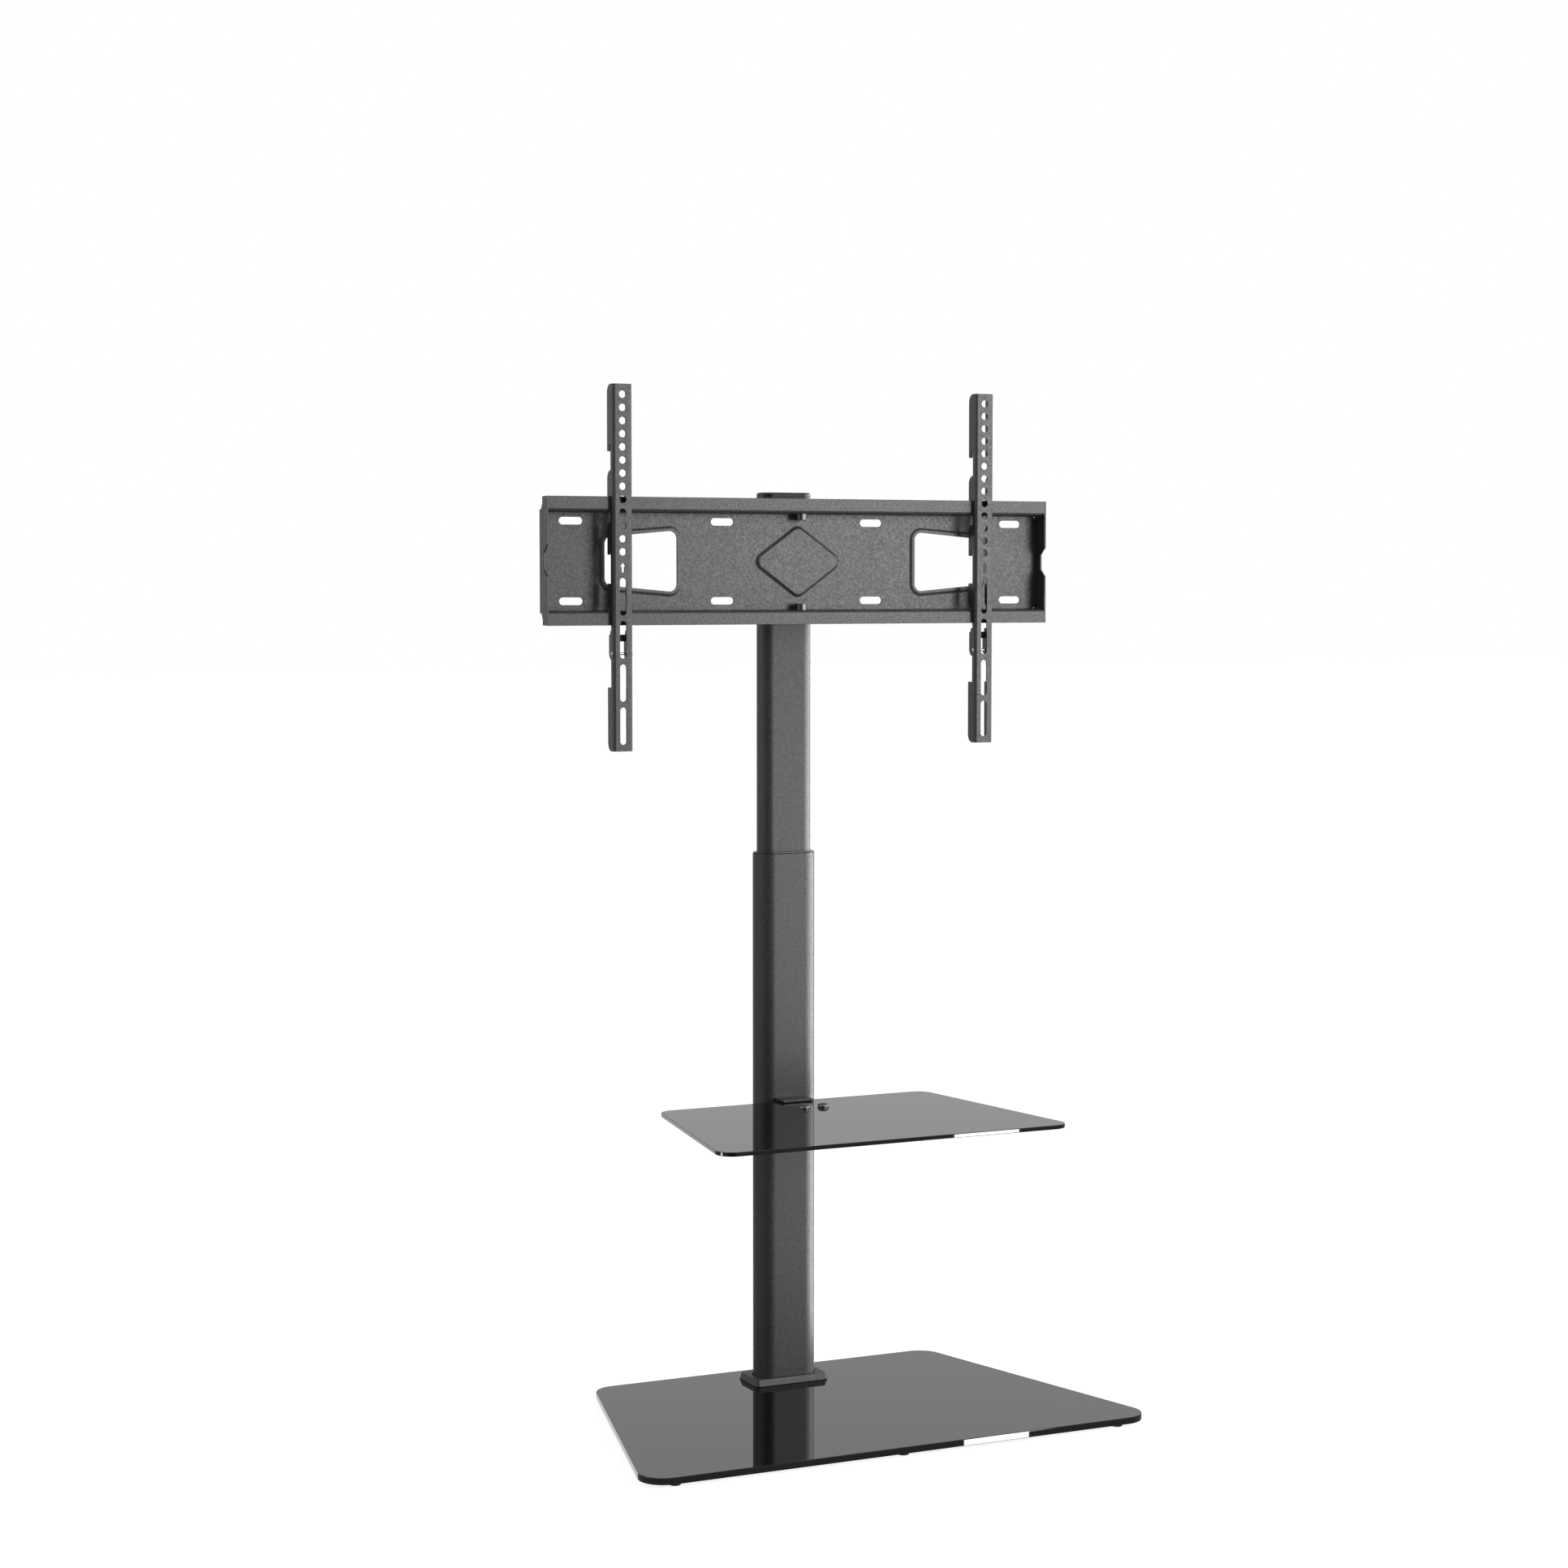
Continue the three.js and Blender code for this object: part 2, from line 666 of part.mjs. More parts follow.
function addTubeCap() {
  const bottom = innerTubeTop + seatGap;
  const corners = rectangle(innerTubeWidth, innerTubeDepth, innerTubeDepth / 2);
  const rounding = Array.from({ length: crownSteps + 1 }, (_, i) => {
    const angle = (i / crownSteps) * (Math.PI / 2);
    const side = capRound * (1 - Math.cos(angle));
    const level = bottom + capHeight - capRound * (1 - Math.sin(angle));
    return { points: outline(inset(corners, side)), level };
  });
  const crown = loft("z", [{ points: outline(corners), level: bottom }, ...rounding]);
  const plug = prism("z", innerBore(seatGap), bottom - capPlug, bottom + capHeight / 2);
  add("tube_cap", crown.add(plug), blackPlastic);
}

function addTubeGlide() {
  const top = innerTubeBottom - seatGap;
  const bottom = top - glideFlange;
  const wall = innerTubeDepth - 2 * (tubeWall + glideWall);
  const bore = roundEnded(innerTubeWidth - innerTubeDepth + wall, wall);
  const flange = prism("z", outerBore(seatGap), bottom, top, [bore]);
  const plug = prism("z", innerBore(seatGap), bottom + glideFlange / 2, top + glidePlug, [bore]);
  add("tube_glide", flange.add(plug), nylon);
}

// Shelf: glass, bracket, pads and screws

const shelfBoltSides = [-1, 1].map((side) => (side * shelfBoltSpacing) / 2);
const padTop = shelfBottom - seatGap;
const tongueTop = padTop - padThickness - seatGap;
const tongueBottom = tongueTop - bracketSteel;
const linerBottom = shelfTop + seatGap;
const bracketLipBottom = linerBottom + linerThickness + seatGap;
const bracketTop = bracketLipBottom + bracketLipThickness;
const bracketBackY = -outerFaceY - seatGap;
const bracketFrontY = bracketBackY - bracketSteel;
const sideNames = ["left", "right"];

function addShelfGlass() {
  const corners = trapezoid(shelfFrontWidth, shelfBackWidth, shelfFrontY, shelfBackY, shelfCornerRadius);
  const bushingDiameter = shelfBoltDiameter + 2 * (shelfBushingWall + 2 * seatGap);
  const holes = shelfBoltSides.map((x) => circle(x, shelfBoltY, bushingDiameter, 2 * holeSteps));
  add("shelf_glass", glassSheet(corners, shelfBottom, shelfThickness, holes), blackGlass);
}

function addShelfBracket() {
  const bottom = shelfTop - bracketDrop;
  const half = bracketWidth / 2;
  const back = prism("x", outline([
    [bracketBackY, bottom],
    [bracketBackY, bracketTop],
    [bracketBackY - bracketLipReach, bracketTop],
    [bracketBackY - bracketLipReach, bracketLipBottom],
    [bracketFrontY, bracketLipBottom],
    [bracketFrontY, bottom],
  ]), -half, half);
  const tonguePoints = outline([
    [-half, bracketBackY],
    [-tongueWidth / 2, bracketFrontY - bracketLipReach],
    [-tongueWidth / 2, bracketBackY - tongueReach, tongueCorner],
    [tongueWidth / 2, bracketBackY - tongueReach, tongueCorner],
    [tongueWidth / 2, bracketFrontY - bracketLipReach],
    [half, bracketBackY],
  ], bendSteps);
  const tongueHoles = shelfBoltSides.map((x) => circle(x, shelfBoltY, shelfBoltDiameter + 2 * seatGap));
  const tongue = prism("z", tonguePoints, tongueBottom, tongueTop, tongueHoles);
  const rib = prism("x", outline([
    [bracketFrontY + bracketSteel / 2, tongueBottom + bracketSteel / 2],
    [bracketFrontY - ribReach, tongueBottom + bracketSteel / 2],
    [bracketFrontY - ribReach, tongueBottom - bracketSteel],
    [bracketFrontY, tongueBottom - ribHeight],
    [bracketFrontY + bracketSteel / 2, tongueBottom - ribHeight],
  ]), -bracketSteel / 2, bracketSteel / 2);
  const boltHole = bracketBoltDiameter + 2 * seatGap;
  const boltHoles = bracketBoltSides.map((x) =>
    prism("y", circle(x, bracketBoltLevel, boltHole), bracketFrontY - overrun, -outerFaceY),
  );
  add("shelf_bracket", cutAll(joinAll([back, tongue, rib]), boltHoles), powderCoat);
}

function addShelfPads() {
  const front = bracketBackY - tongueReach + seatGap;
  const padBack = shelfBackY - seatGap;
  const padDepth = padBack - front;
  const padCorners = rectangle(bracketWidth, padDepth, 0, 0, (padBack + front) / 2);
  const padHoles = shelfBoltSides.map((x) => circle(x, shelfBoltY, shelfBoltDiameter + 2 * seatGap));
  add("shelf_pad", prism("z", outline(padCorners), padTop - padThickness, padTop, padHoles), rubber);
  const linerFront = bracketBackY - bracketLipReach;
  const linerCorners = rectangle(bracketWidth, shelfBackY - linerFront, 0, 0, (shelfBackY + linerFront) / 2);
  add("shelf_liner", prism("z", outline(linerCorners), linerBottom, linerBottom + linerThickness), rubber);
}

// The dome is a flat-topped arc over the head's rim.
function domedBolt(diameter, headDiameter, headHeight, length) {
  const rim = headHeight / 6;
  const crown = headDiameter / 4;
  const dome = Array.from({ length: domeSteps + 1 }, (_, i) => {
    const angle = (i / domeSteps) * (Math.PI / 2);
    return [crown + (headDiameter / 2 - crown) * Math.cos(angle), rim + (headHeight - rim) * Math.sin(angle)];
  });
  const shank = [
    [0, -length],
    [diameter / 2, -length],
    [diameter / 2, 0],
  ];
  const bolt = turned([...shank, [headDiameter / 2, 0], ...dome, [0, headHeight]]);
  return bolt.subtract(prism("z", hexagon(hexSocket), headHeight / 3, headHeight + overrun));
}

function addShelfScrews() {
  const nutTop = tongueBottom - seatGap;
  const headSeat = shelfTop + seatGap;
  const length = headSeat - nutTop + nutHeight + boltProud;
  const bolt = domedBolt(shelfBoltDiameter, shelfBoltHeadDiameter, shelfBoltHeadHeight, length);
  const bore = shelfBoltDiameter + 2 * seatGap;
  const bushing = ring(bore + 2 * shelfBushingWall, bore, shelfThickness);
  const nut = hexNut(nutFlats, nutHeight, bore);
  shelfBoltSides.forEach((x, i) => {
    add(`shelf_bolt_${sideNames[i]}`, bolt, blackScrew, [x, shelfBoltY, headSeat]);
    add(`shelf_bushing_${sideNames[i]}`, bushing, nylon, [x, shelfBoltY, shelfBottom]);
    add(`shelf_nut_${sideNames[i]}`, nut, zinc, [x, shelfBoltY, nutTop - nutHeight]);
  });
}

// Each rivet nut is a flanged sleeve in the tube's wall, and the bolt runs through it.
function addBracketScrews() {
  const bore = bracketBoltDiameter + 2 * seatGap;
  const wallIn = -outerFaceY + tubeWall;
  const radius = rivetNutDiameter / 2;
  const bulgeBottom = tubeWall + seatGap;
  const bulgeTop = bulgeBottom + rivetNutLength / 2;
  const rivetNut = turned([
    [bore / 2, 0],
    [radius, 0],
    [radius, bulgeBottom],
    [radius + rivetNutWall, bulgeBottom],
    [radius, bulgeTop],
    [radius, rivetNutLength],
    [bore / 2, rivetNutLength],
    [bore / 2, 0],
  ]);
  const length = bracketSteel + 2 * seatGap + rivetNutLength;
  const bolt = capScrew(bracketBoltDiameter, bracketBoltHeadDiameter, bracketBoltHeadHeight, length);
  bracketBoltSides.forEach((x, i) => {
    const headSeat = [x, bracketFrontY - seatGap, bracketBoltLevel];
    add(`bracket_bolt_${sideNames[i]}`, bolt, blackScrew, headSeat, [0, 1, 0]);
    add(`rivet_nut_${sideNames[i]}`, rivetNut, zinc, [x, wallIn - tubeWall, bracketBoltLevel], [0, 1, 0]);
  });
}

// Swivel: bracket, its bolts through the inner tube, and the two swivel bolts

const topFlangeBottom = topFlangeTop - plateSteel;
const bottomFlangeTop = bottomFlangeBottom + plateSteel;
const tongueStack = seatGap + swivelWasherThickness + seatGap;
const topTongueBottom = topFlangeTop + tongueStack;
const bottomTongueTop = bottomFlangeBottom - tongueStack;
const swivelBackY = -innerFaceY - seatGap;
const swivelFrontY = swivelBackY - swivelSteel;

function addSwivelBracket() {
  const half = swivelBracketWidth / 2;
  const top = topTongueBottom + swivelSteel;
  const bottom = bottomTongueTop - swivelSteel;
  const middle = swivelSteel / 2;
  const section = outline(foldedSheet([
    [swivelY - swivelTongueEnd, top - middle],
    [swivelBackY - middle, top - middle],
    [swivelBackY - middle, bottom + middle],
    [swivelY - swivelTongueEnd, bottom + middle],
  ], swivelSteel, bendRadius), bendSteps);
  const plan = outline([
    [-half, swivelBackY],
    [-half, swivelFrontY],
    [-swivelTongueEnd, swivelY - swivelTongueEnd, swivelTongueEnd - seatGap],
    [swivelTongueEnd, swivelY - swivelTongueEnd, swivelTongueEnd - seatGap],
    [half, swivelFrontY],
    [half, swivelBackY],
  ], bendSteps);
  const folded = prism("x", section, -half, half).intersect(prism("z", plan, bottom, top));
  const swivelHole = circle(0, swivelY, swivelBoltDiameter + 2 * seatGap);
  const swivelCut = prism("z", swivelHole, bottom - overrun, top + overrun);
  const tubeCuts = tubeBoltLevels.map((level) => {
    const hole = circle(0, level, tubeBoltDiameter + 2 * seatGap);
    return prism("y", hole, swivelFrontY - overrun, swivelBackY + overrun);
  });
  add("swivel_bracket", cutAll(folded, [swivelCut, ...tubeCuts]), powderCoat);
}

function addTubeBolts() {
  const headSeat = swivelFrontY - seatGap;
  const nutFace = innerFaceY + seatGap;
  const length = nutFace + nutHeight + boltProud - headSeat;
  const bolt = capScrew(tubeBoltDiameter, nutFlats, tubeBoltHeadHeight, length);
  const nut = hexNut(nutFlats, nutHeight, tubeBoltDiameter + 2 * seatGap);
  ["upper", "lower"].forEach((name, i) => {
    add(`tube_bolt_${name}`, bolt, blackScrew, [0, headSeat, tubeBoltLevels[i]], [0, 1, 0]);
    add(`tube_nut_${name}`, nut, zinc, [0, nutFace, tubeBoltLevels[i]], [0, 1, 0]);
  });
}

// Each swivel bolt has its head inside the plate, and clamps the bracket's tongue through a nylon washer.
function addSwivelScrews() {
  const bore = swivelBoltDiameter + 2 * seatGap;
  const nutSeat = tongueStack + swivelSteel + seatGap;
  const length = seatGap + plateSteel + nutSeat + swivelNutHeight + swivelBoltProud;
  const bolt = capScrew(swivelBoltDiameter, swivelHeadDiameter, swivelHeadHeight, length);
  const washer = ring(swivelWasherDiameter, bore, swivelWasherThickness);
  const nut = hexNut(nutFlats, swivelNutHeight, bore);
  const sides = [
    { name: "top", up: 1, flangeIn: topFlangeBottom, flangeOut: topFlangeTop },
    { name: "bottom", up: -1, flangeIn: bottomFlangeTop, flangeOut: bottomFlangeBottom },
  ];
  sides.forEach(({ name, up, flangeIn, flangeOut }) => {
    const at = (level) => [0, swivelY, level];
    add(`swivel_bolt_${name}`, bolt, blackScrew, at(flangeIn - up * seatGap), [0, 0, up]);
    add(`swivel_washer_${name}`, washer, nylon, at(flangeOut + up * seatGap), [0, 0, up]);
    add(`swivel_nut_${name}`, nut, zinc, at(flangeOut + up * nutSeat), [0, 0, up]);
  });
}

// Mount plate

// Presses a region forward: its face rises, and its back is hollowed by as much.
function press(sheet, corners, rise) {
  const stamp = (shift) =>
    loft("y", [
      { points: outline(inset(corners, rise), bendSteps), level: webFrontY - rise + shift },
      { points: outline(corners, bendSteps), level: webFrontY + shift },
    ]);
  return sheet.add(stamp(0)).subtract(stamp(plateSteel));
}

// The end wall closes the hollow between the flanges, and its ears close the lips.
// Its edges end inside the sheet.
function endWall() {
  const inside = plateSteel / 2;
  const earBackY = lipFrontY + earDepth;
  const chamferFootY = earBackY + earChamferDepth * (1 + inside / earChamferHeight);
  const upperHalf = [
    [lipFrontY + notchDepth, plateCentre + notchFloor / 2],
    [lipFrontY, plateCentre + notchMouth / 2],
    [lipFrontY, topFlangeTop + earChamferHeight],
    [lipFrontY + inside, topFlangeTop + earChamferHeight],
    [lipFrontY + inside, plateTop - seatGap],
    [earBackY, plateTop - seatGap, bendRadius],
    [earBackY, topFlangeTop + earChamferHeight],
    [chamferFootY, topFlangeTop - inside],
    [webBackY - inside, topFlangeTop - inside],
  ];
  const lowerHalf = [
    [webBackY - inside, bottomFlangeBottom + inside],
    [chamferFootY, bottomFlangeBottom + inside],
    [earBackY, bottomFlangeBottom - earChamferHeight],
    [earBackY, plateBottom + seatGap, bendRadius],
    [lipFrontY + inside, plateBottom + seatGap],
    [lipFrontY + inside, bottomFlangeBottom - earChamferHeight],
    [lipFrontY, bottomFlangeBottom - earChamferHeight],
    [lipFrontY, plateCentre - notchMouth / 2],
    [lipFrontY + notchDepth, plateCentre - notchFloor / 2],
  ];
  return outline([...upperHalf, ...lowerHalf], bendSteps);
}

// Corners of a window on one side of the plate, anticlockwise from the front.
function windowCorners(side, grow = 0) {
  const inner = windowInnerX - grow;
  const outer = windowOuterX + grow;
  const innerHalf = windowInnerHeight / 2 + grow;
  const outerHalf = windowOuterHeight / 2 + grow;
  const radius = windowCorner + grow;
  const corners = [
    [side * inner, plateCentre - innerHalf, radius],
    [side * outer, plateCentre - outerHalf, radius],
    [side * outer, plateCentre + outerHalf, radius],
    [side * inner, plateCentre + innerHalf, radius],
  ];
  return side > 0 ? corners : corners.reverse();
}

function addMountPlate() {
  const half = plateWidth / 2;
  const middle = plateSteel / 2;
  const section = outline(foldedSheet([
    [lipFrontY + middle, plateTop],
    [lipFrontY + middle, topFlangeTop - middle],
    [webBackY - middle, topFlangeTop - middle],
    [webBackY - middle, bottomFlangeBottom + middle],
    [lipFrontY + middle, bottomFlangeBottom + middle],
    [lipFrontY + middle, plateBottom],
  ], plateSteel, bendRadius), bendSteps);
  const walls = [-half, half - plateSteel].map((x) => prism("x", endWall(), x, x + plateSteel));
  const plan = outline([
    [-half, lipFrontY],
    [half, lipFrontY],
    [half, webBackY, endBendRadius],
    [-half, webBackY, endBendRadius],
  ], bendSteps);
  const blank = prism("z", plan, plateBottom, plateTop);
  const folded = joinAll([prism("x", section, -half, half), ...walls]).intersect(blank);
  const diamond = [
    [0, plateCentre - diamondHeight / 2, diamondCorner],
    [diamondWidth / 2, plateCentre, diamondCorner],
    [0, plateCentre + diamondHeight / 2, diamondCorner],
    [-diamondWidth / 2, plateCentre, diamondCorner],
  ];
  const beads = [-1, 1].map((side) => windowCorners(side, windowBead));
  const marked = press(folded, diamond, diamondRise);
  const pressed = beads.reduce((sheet, bead) => press(sheet, bead, windowBeadRise), marked);
  const through = (points) => prism("y", points, webFrontY - overrun, webBackY + overrun);
  const windows = [-1, 1].map((side) => through(outline(windowCorners(side), 2 * bendSteps)));
  const slotOuterX = half - slotEndInset;
  const slotRows = [-1, 1].map((side) => plateCentre + (side * slotRowSpacing) / 2);
  const slots = [-slotOuterX, -slotInnerX, slotInnerX, slotOuterX].flatMap((x) =>
    slotRows.map((z) => through(roundEnded(slotLength, slotWidth, x, z, holeSteps))),
  );
  const swivelHole = prism("z", circle(0, swivelY, swivelBoltDiameter + 2 * seatGap), plateBottom, plateTop);
  const reliefs = [-1, 1].flatMap((side) => [
    [topFlangeBottom, -1],
    [bottomFlangeTop, 1],
  ].map(([level, inward]) => {
    const x = side * (half - plateSteel - reliefEdge);
    const z = level + inward * reliefEdge;
    return through([
      new THREE.Vector2(x, z),
      new THREE.Vector2(x - side * reliefWidth, z),
      new THREE.Vector2(x, z + inward * reliefHeight),
    ]);
  }));
  add("mount_plate", cutAll(pressed, [...windows, ...slots, swivelHole, ...reliefs]), powderCoat);
}

// Arms with their hooks

const cheekNeckY = armFrontY + armStandoff - seatGap;
const cheekBackY = armFrontY + cheekDepth;
const hookFrontY = lipBackY + hookPlay;

// The cheek hangs three hooks over a lip, stands a block in the plate's hollow and clears the lower lip.
function cheekCorners() {
  const slitTops = [1, 0, -1].map((step) => plateTop + seatGap + step * hookPitch);
  const tailRound = cheekBackY - cheekNeckY - seatGap;
  const hooks = slitTops.flatMap((slitTop, i) => {
    const neckEnd = slitTop - hookNeck;
    const isLast = i === slitTops.length - 1;
    const tail = isLast ? [] : [[cheekNeckY, neckEnd], [cheekBackY, neckEnd, tailRound]];
    return [
      [cheekBackY, slitTop - hookLength, hookTipRound],
      [hookFrontY, slitTop - hookLength, hookTipRound],
      [hookFrontY, slitTop],
      [cheekNeckY, slitTop],
      ...tail,
    ];
  });
  const blockBottom = bottomFlangeTop + blockAboveFlange;
  const lowerTop = armBottom + lowerCheekHeight;
  return [
    [armFrontY, armTop],
    [cheekBackY, armTop, cheekCorner],
    ...hooks,
    [cheekNeckY, blockBottom + blockHeight],
    [cheekBackY, blockBottom + blockHeight, hookTipRound],
    [cheekBackY, blockBottom, tailRound],
    [cheekNeckY, blockBottom],
    [cheekNeckY, lowerTop],
    [cheekBackY, lowerTop, hookTipRound],
    [cheekBackY, armBottom, cheekCorner],
    [armFrontY, armBottom],
  ];
}

const latchTip = plateBottom - latchPlay;
const latchPinLevel = latchTip - latchPinDrop;
const armInnerY = armFrontY + armSteel;
const latchPinY = armInnerY + latchPinInset;

// An arrow that points up, cut in the arm's face below the holes.
function arrow() {
  const top = armTop - arrowTop;
  const headBottom = top - arrowHeadHeight;
  const bottom = top - arrowHeight;
  return outline([
    [0, top],
    [-arrowHeadWidth / 2, headBottom],
    [-arrowShaftWidth / 2, headBottom],
    [-arrowShaftWidth / 2, bottom],
    [arrowShaftWidth / 2, bottom],
    [arrowShaftWidth / 2, headBottom],
    [arrowHeadWidth / 2, headBottom],
  ]);
}

function armSolid() {
  const half = armWidth / 2;
  const middle = armSteel / 2;
  const channel = outline(foldedSheet([
    [-half + middle, cheekBackY],
    [-half + middle, armFrontY + middle],
    [half - middle, armFrontY + middle],
    [half - middle, cheekBackY],
  ], armSteel, bendRadius), bendSteps);
  const cheeks = prism("x", outline(cheekCorners(), 2 * bendSteps), -half, half);
  const body = prism("z", channel, armBottom, armTop).intersect(cheeks);
  const holes = Array.from({ length: armHoleCount }, (_, i) => {
    const level = armTop - armFirstHole - i * armHolePitch;
    return circle(0, level, armHoleDiameter);
  });
  const slots = Array.from({ length: armSlotCount }, (_, i) => {
    const centre = armTop - armFirstSlot - i * armSlotPitch - armSlotLength / 2;
    return roundEnded(armSlotWidth, armSlotLength, 0, centre, holeSteps);
  });
  const openings = [...holes, ...slots, arrow()];
  const cuts = openings.map((points) => prism("y", points, armFrontY - overrun, armInnerY + seatGap));
  const pinHole = circle(latchPinY, latchPinLevel, latchPinDiameter + 2 * pinGap);
  return cutAll(body, [...cuts, prism("x", pinHole, -armWidth, armWidth)]);
}

// Latches: two cheeks joined by a web, with a beak that catches behind the plate's lower lip

function latchSolid() {
  const half = armWidth / 2 - armSteel - seatGap;
  const frontY = armInnerY + bendRadius / 2;
  const backY = lipBackY + latchReach;
  const beakFrontY = lipBackY + hookPlay;
  const bodyTop = latchTip - latchBeakHeight;
  const bottom = latchTip - latchHeight;
  const lean = (level) => frontY + (level - latchPinLevel) * latchLeanShare;
  const cheekPoints = outline([
    [frontY, bottom, latchFrontRound],
    [backY, bottom, latchBackRound],
    [backY, bodyTop, hookTipRound],
    [beakFrontY + latchBeakThickness, bodyTop],
    [beakFrontY + latchBeakThickness, latchTip, hookTipRound],
    [beakFrontY, latchTip, hookTipRound],
    [beakFrontY, bodyTop],
    [lean(bodyTop), bodyTop],
    [frontY, latchPinLevel],
  ], bendSteps);
  const hole = circle(latchPinY, latchPinLevel, latchPinDiameter + 2 * pinGap);
  const cheeks = [-half, half - latchSteel].map((x) => prism("x", cheekPoints, x, x + latchSteel, [hole]));
  const webBottom = bodyTop - latchWebHeight;
  const web = prism("x", outline([
    [lean(webBottom), webBottom],
    [lean(webBottom) + latchSteel, webBottom],
    [lean(bodyTop) + latchSteel, bodyTop],
    [lean(bodyTop), bodyTop],
  ]), seatGap - half, half - seatGap);
  return joinAll([...cheeks, web]);
}

function pinSolid() {
  const half = armWidth / 2 + pinGap;
  const shank = prism("x", circle(latchPinY, latchPinLevel, latchPinDiameter), -half, half);
  const heads = [-half - latchPinHeadHeight, half].map((x) =>
    prism("x", circle(latchPinY, latchPinLevel, latchPinHeadDiameter), x, x + latchPinHeadHeight),
  );
  return joinAll([shank, ...heads]);
}

function addArms() {
  const arm = armSolid();
  const latch = latchSolid();
  const pin = pinSolid();
  sideNames.forEach((name, i) => {
    const place = [i ? armX : -armX, 0, 0];
    add(`arm_${name}`, arm, powderCoat, place);
    add(`latch_${name}`, latch, blackScrew, place);
    add(`latch_pin_${name}`, pin, zinc, place);
  });
}

addBaseGlass();
addFeet();
addBasePlate();
addBaseBolts();
addCollar();
addOuterTube();
addBushing();
addLockBolts();
addInnerTube();
addTubeCap();
addTubeGlide();
addShelfGlass();
addShelfBracket();
addShelfPads();
addShelfScrews();
addBracketScrews();
addSwivelBracket();
addTubeBolts();
addSwivelScrews();
addMountPlate();
addArms();

export default group;
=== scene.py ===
import json
import math

import bmesh
import bpy
from mathutils import Euler, Matrix, Vector
from mathutils.geometry import tessellate_polygon

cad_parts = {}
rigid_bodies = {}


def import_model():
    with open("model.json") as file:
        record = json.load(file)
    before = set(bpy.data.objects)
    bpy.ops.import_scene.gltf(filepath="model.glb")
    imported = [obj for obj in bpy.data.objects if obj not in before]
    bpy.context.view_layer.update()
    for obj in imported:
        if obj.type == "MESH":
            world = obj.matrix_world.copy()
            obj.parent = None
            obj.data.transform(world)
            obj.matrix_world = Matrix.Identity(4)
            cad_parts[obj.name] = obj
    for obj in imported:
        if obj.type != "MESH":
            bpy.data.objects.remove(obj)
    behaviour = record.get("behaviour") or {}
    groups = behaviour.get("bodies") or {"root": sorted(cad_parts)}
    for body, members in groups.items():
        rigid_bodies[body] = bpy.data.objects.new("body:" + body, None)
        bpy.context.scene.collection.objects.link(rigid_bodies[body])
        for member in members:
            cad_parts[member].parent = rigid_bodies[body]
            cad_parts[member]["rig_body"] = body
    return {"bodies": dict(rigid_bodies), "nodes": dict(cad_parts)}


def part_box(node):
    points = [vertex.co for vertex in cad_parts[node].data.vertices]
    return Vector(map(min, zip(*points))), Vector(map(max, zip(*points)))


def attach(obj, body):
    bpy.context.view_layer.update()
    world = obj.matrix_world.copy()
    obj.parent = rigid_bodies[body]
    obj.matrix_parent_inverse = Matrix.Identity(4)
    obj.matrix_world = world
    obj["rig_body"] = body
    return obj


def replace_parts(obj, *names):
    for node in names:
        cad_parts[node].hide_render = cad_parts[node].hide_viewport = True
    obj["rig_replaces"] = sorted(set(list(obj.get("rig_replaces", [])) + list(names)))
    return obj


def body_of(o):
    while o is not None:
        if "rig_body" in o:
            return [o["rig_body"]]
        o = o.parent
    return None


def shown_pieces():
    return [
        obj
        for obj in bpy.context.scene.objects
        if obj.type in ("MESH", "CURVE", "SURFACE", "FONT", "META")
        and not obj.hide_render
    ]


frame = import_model()
nodes = frame["nodes"]
scene = bpy.context.scene

wanted = set(nodes.values()) | set(frame["bodies"].values())
for start_object in list(bpy.data.objects):
    if start_object not in wanted:
        bpy.data.objects.remove(start_object)
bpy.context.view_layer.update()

# Camera, at the photograph's viewing angle
LENS = 72.2
SENSOR = 36.0
CAMERA_PLACE = (-1.6489, -3.3591, 1.0094)
CAMERA_TURN = (86.264, 0.0, -25.233)
FARTHEST = 60

camera_data = bpy.data.cameras.new("camera")
camera_data.lens = LENS
camera_data.sensor_width = SENSOR
camera_data.sensor_fit = "HORIZONTAL"
camera_data.clip_end = FARTHEST
camera = bpy.data.objects.new("camera", camera_data)
camera.location = CAMERA_PLACE
camera.rotation_euler = Euler([math.radians(angle) for angle in CAMERA_TURN])
scene.collection.objects.link(camera)
scene.camera = camera
scene.view_settings.view_transform = "Standard"


# Materials

def new_material(name):
    """A material with its node tree and its shader."""
    material = bpy.data.materials.new(name)
    material.use_nodes = True
    tree = material.node_tree
    return material, tree, tree.nodes["Principled BSDF"]


def noise(tree, scale, detail=2.0, roughness=0.5):
    """Noise over the object's own coordinates. The scale is in features per metre."""
    place = tree.nodes.new("ShaderNodeTexCoord")
    texture = tree.nodes.new("ShaderNodeTexNoise")
    texture.inputs["Scale"].default_value = scale
    texture.inputs["Detail"].default_value = detail
    texture.inputs["Roughness"].default_value = roughness
    tree.links.new(place.outputs["Object"], texture.inputs["Vector"])
    return texture.outputs["Fac"]


NOISE_SHARES = (0.3, 0.7)  # the part of a noise's range that a ramp spreads over


def ramp(tree, factor, low, high):
    """Colours or grey values that go from low to high with the factor."""
    node = tree.nodes.new("ShaderNodeValToRGB")
    for stop, place, value in zip(node.color_ramp.elements, NOISE_SHARES, (low, high)):
        stop.position = place
        stop.color = (*value, 1) if isinstance(value, tuple) else (value, value, value, 1)
    tree.links.new(factor, node.inputs["Fac"])
    return node.outputs["Color"]


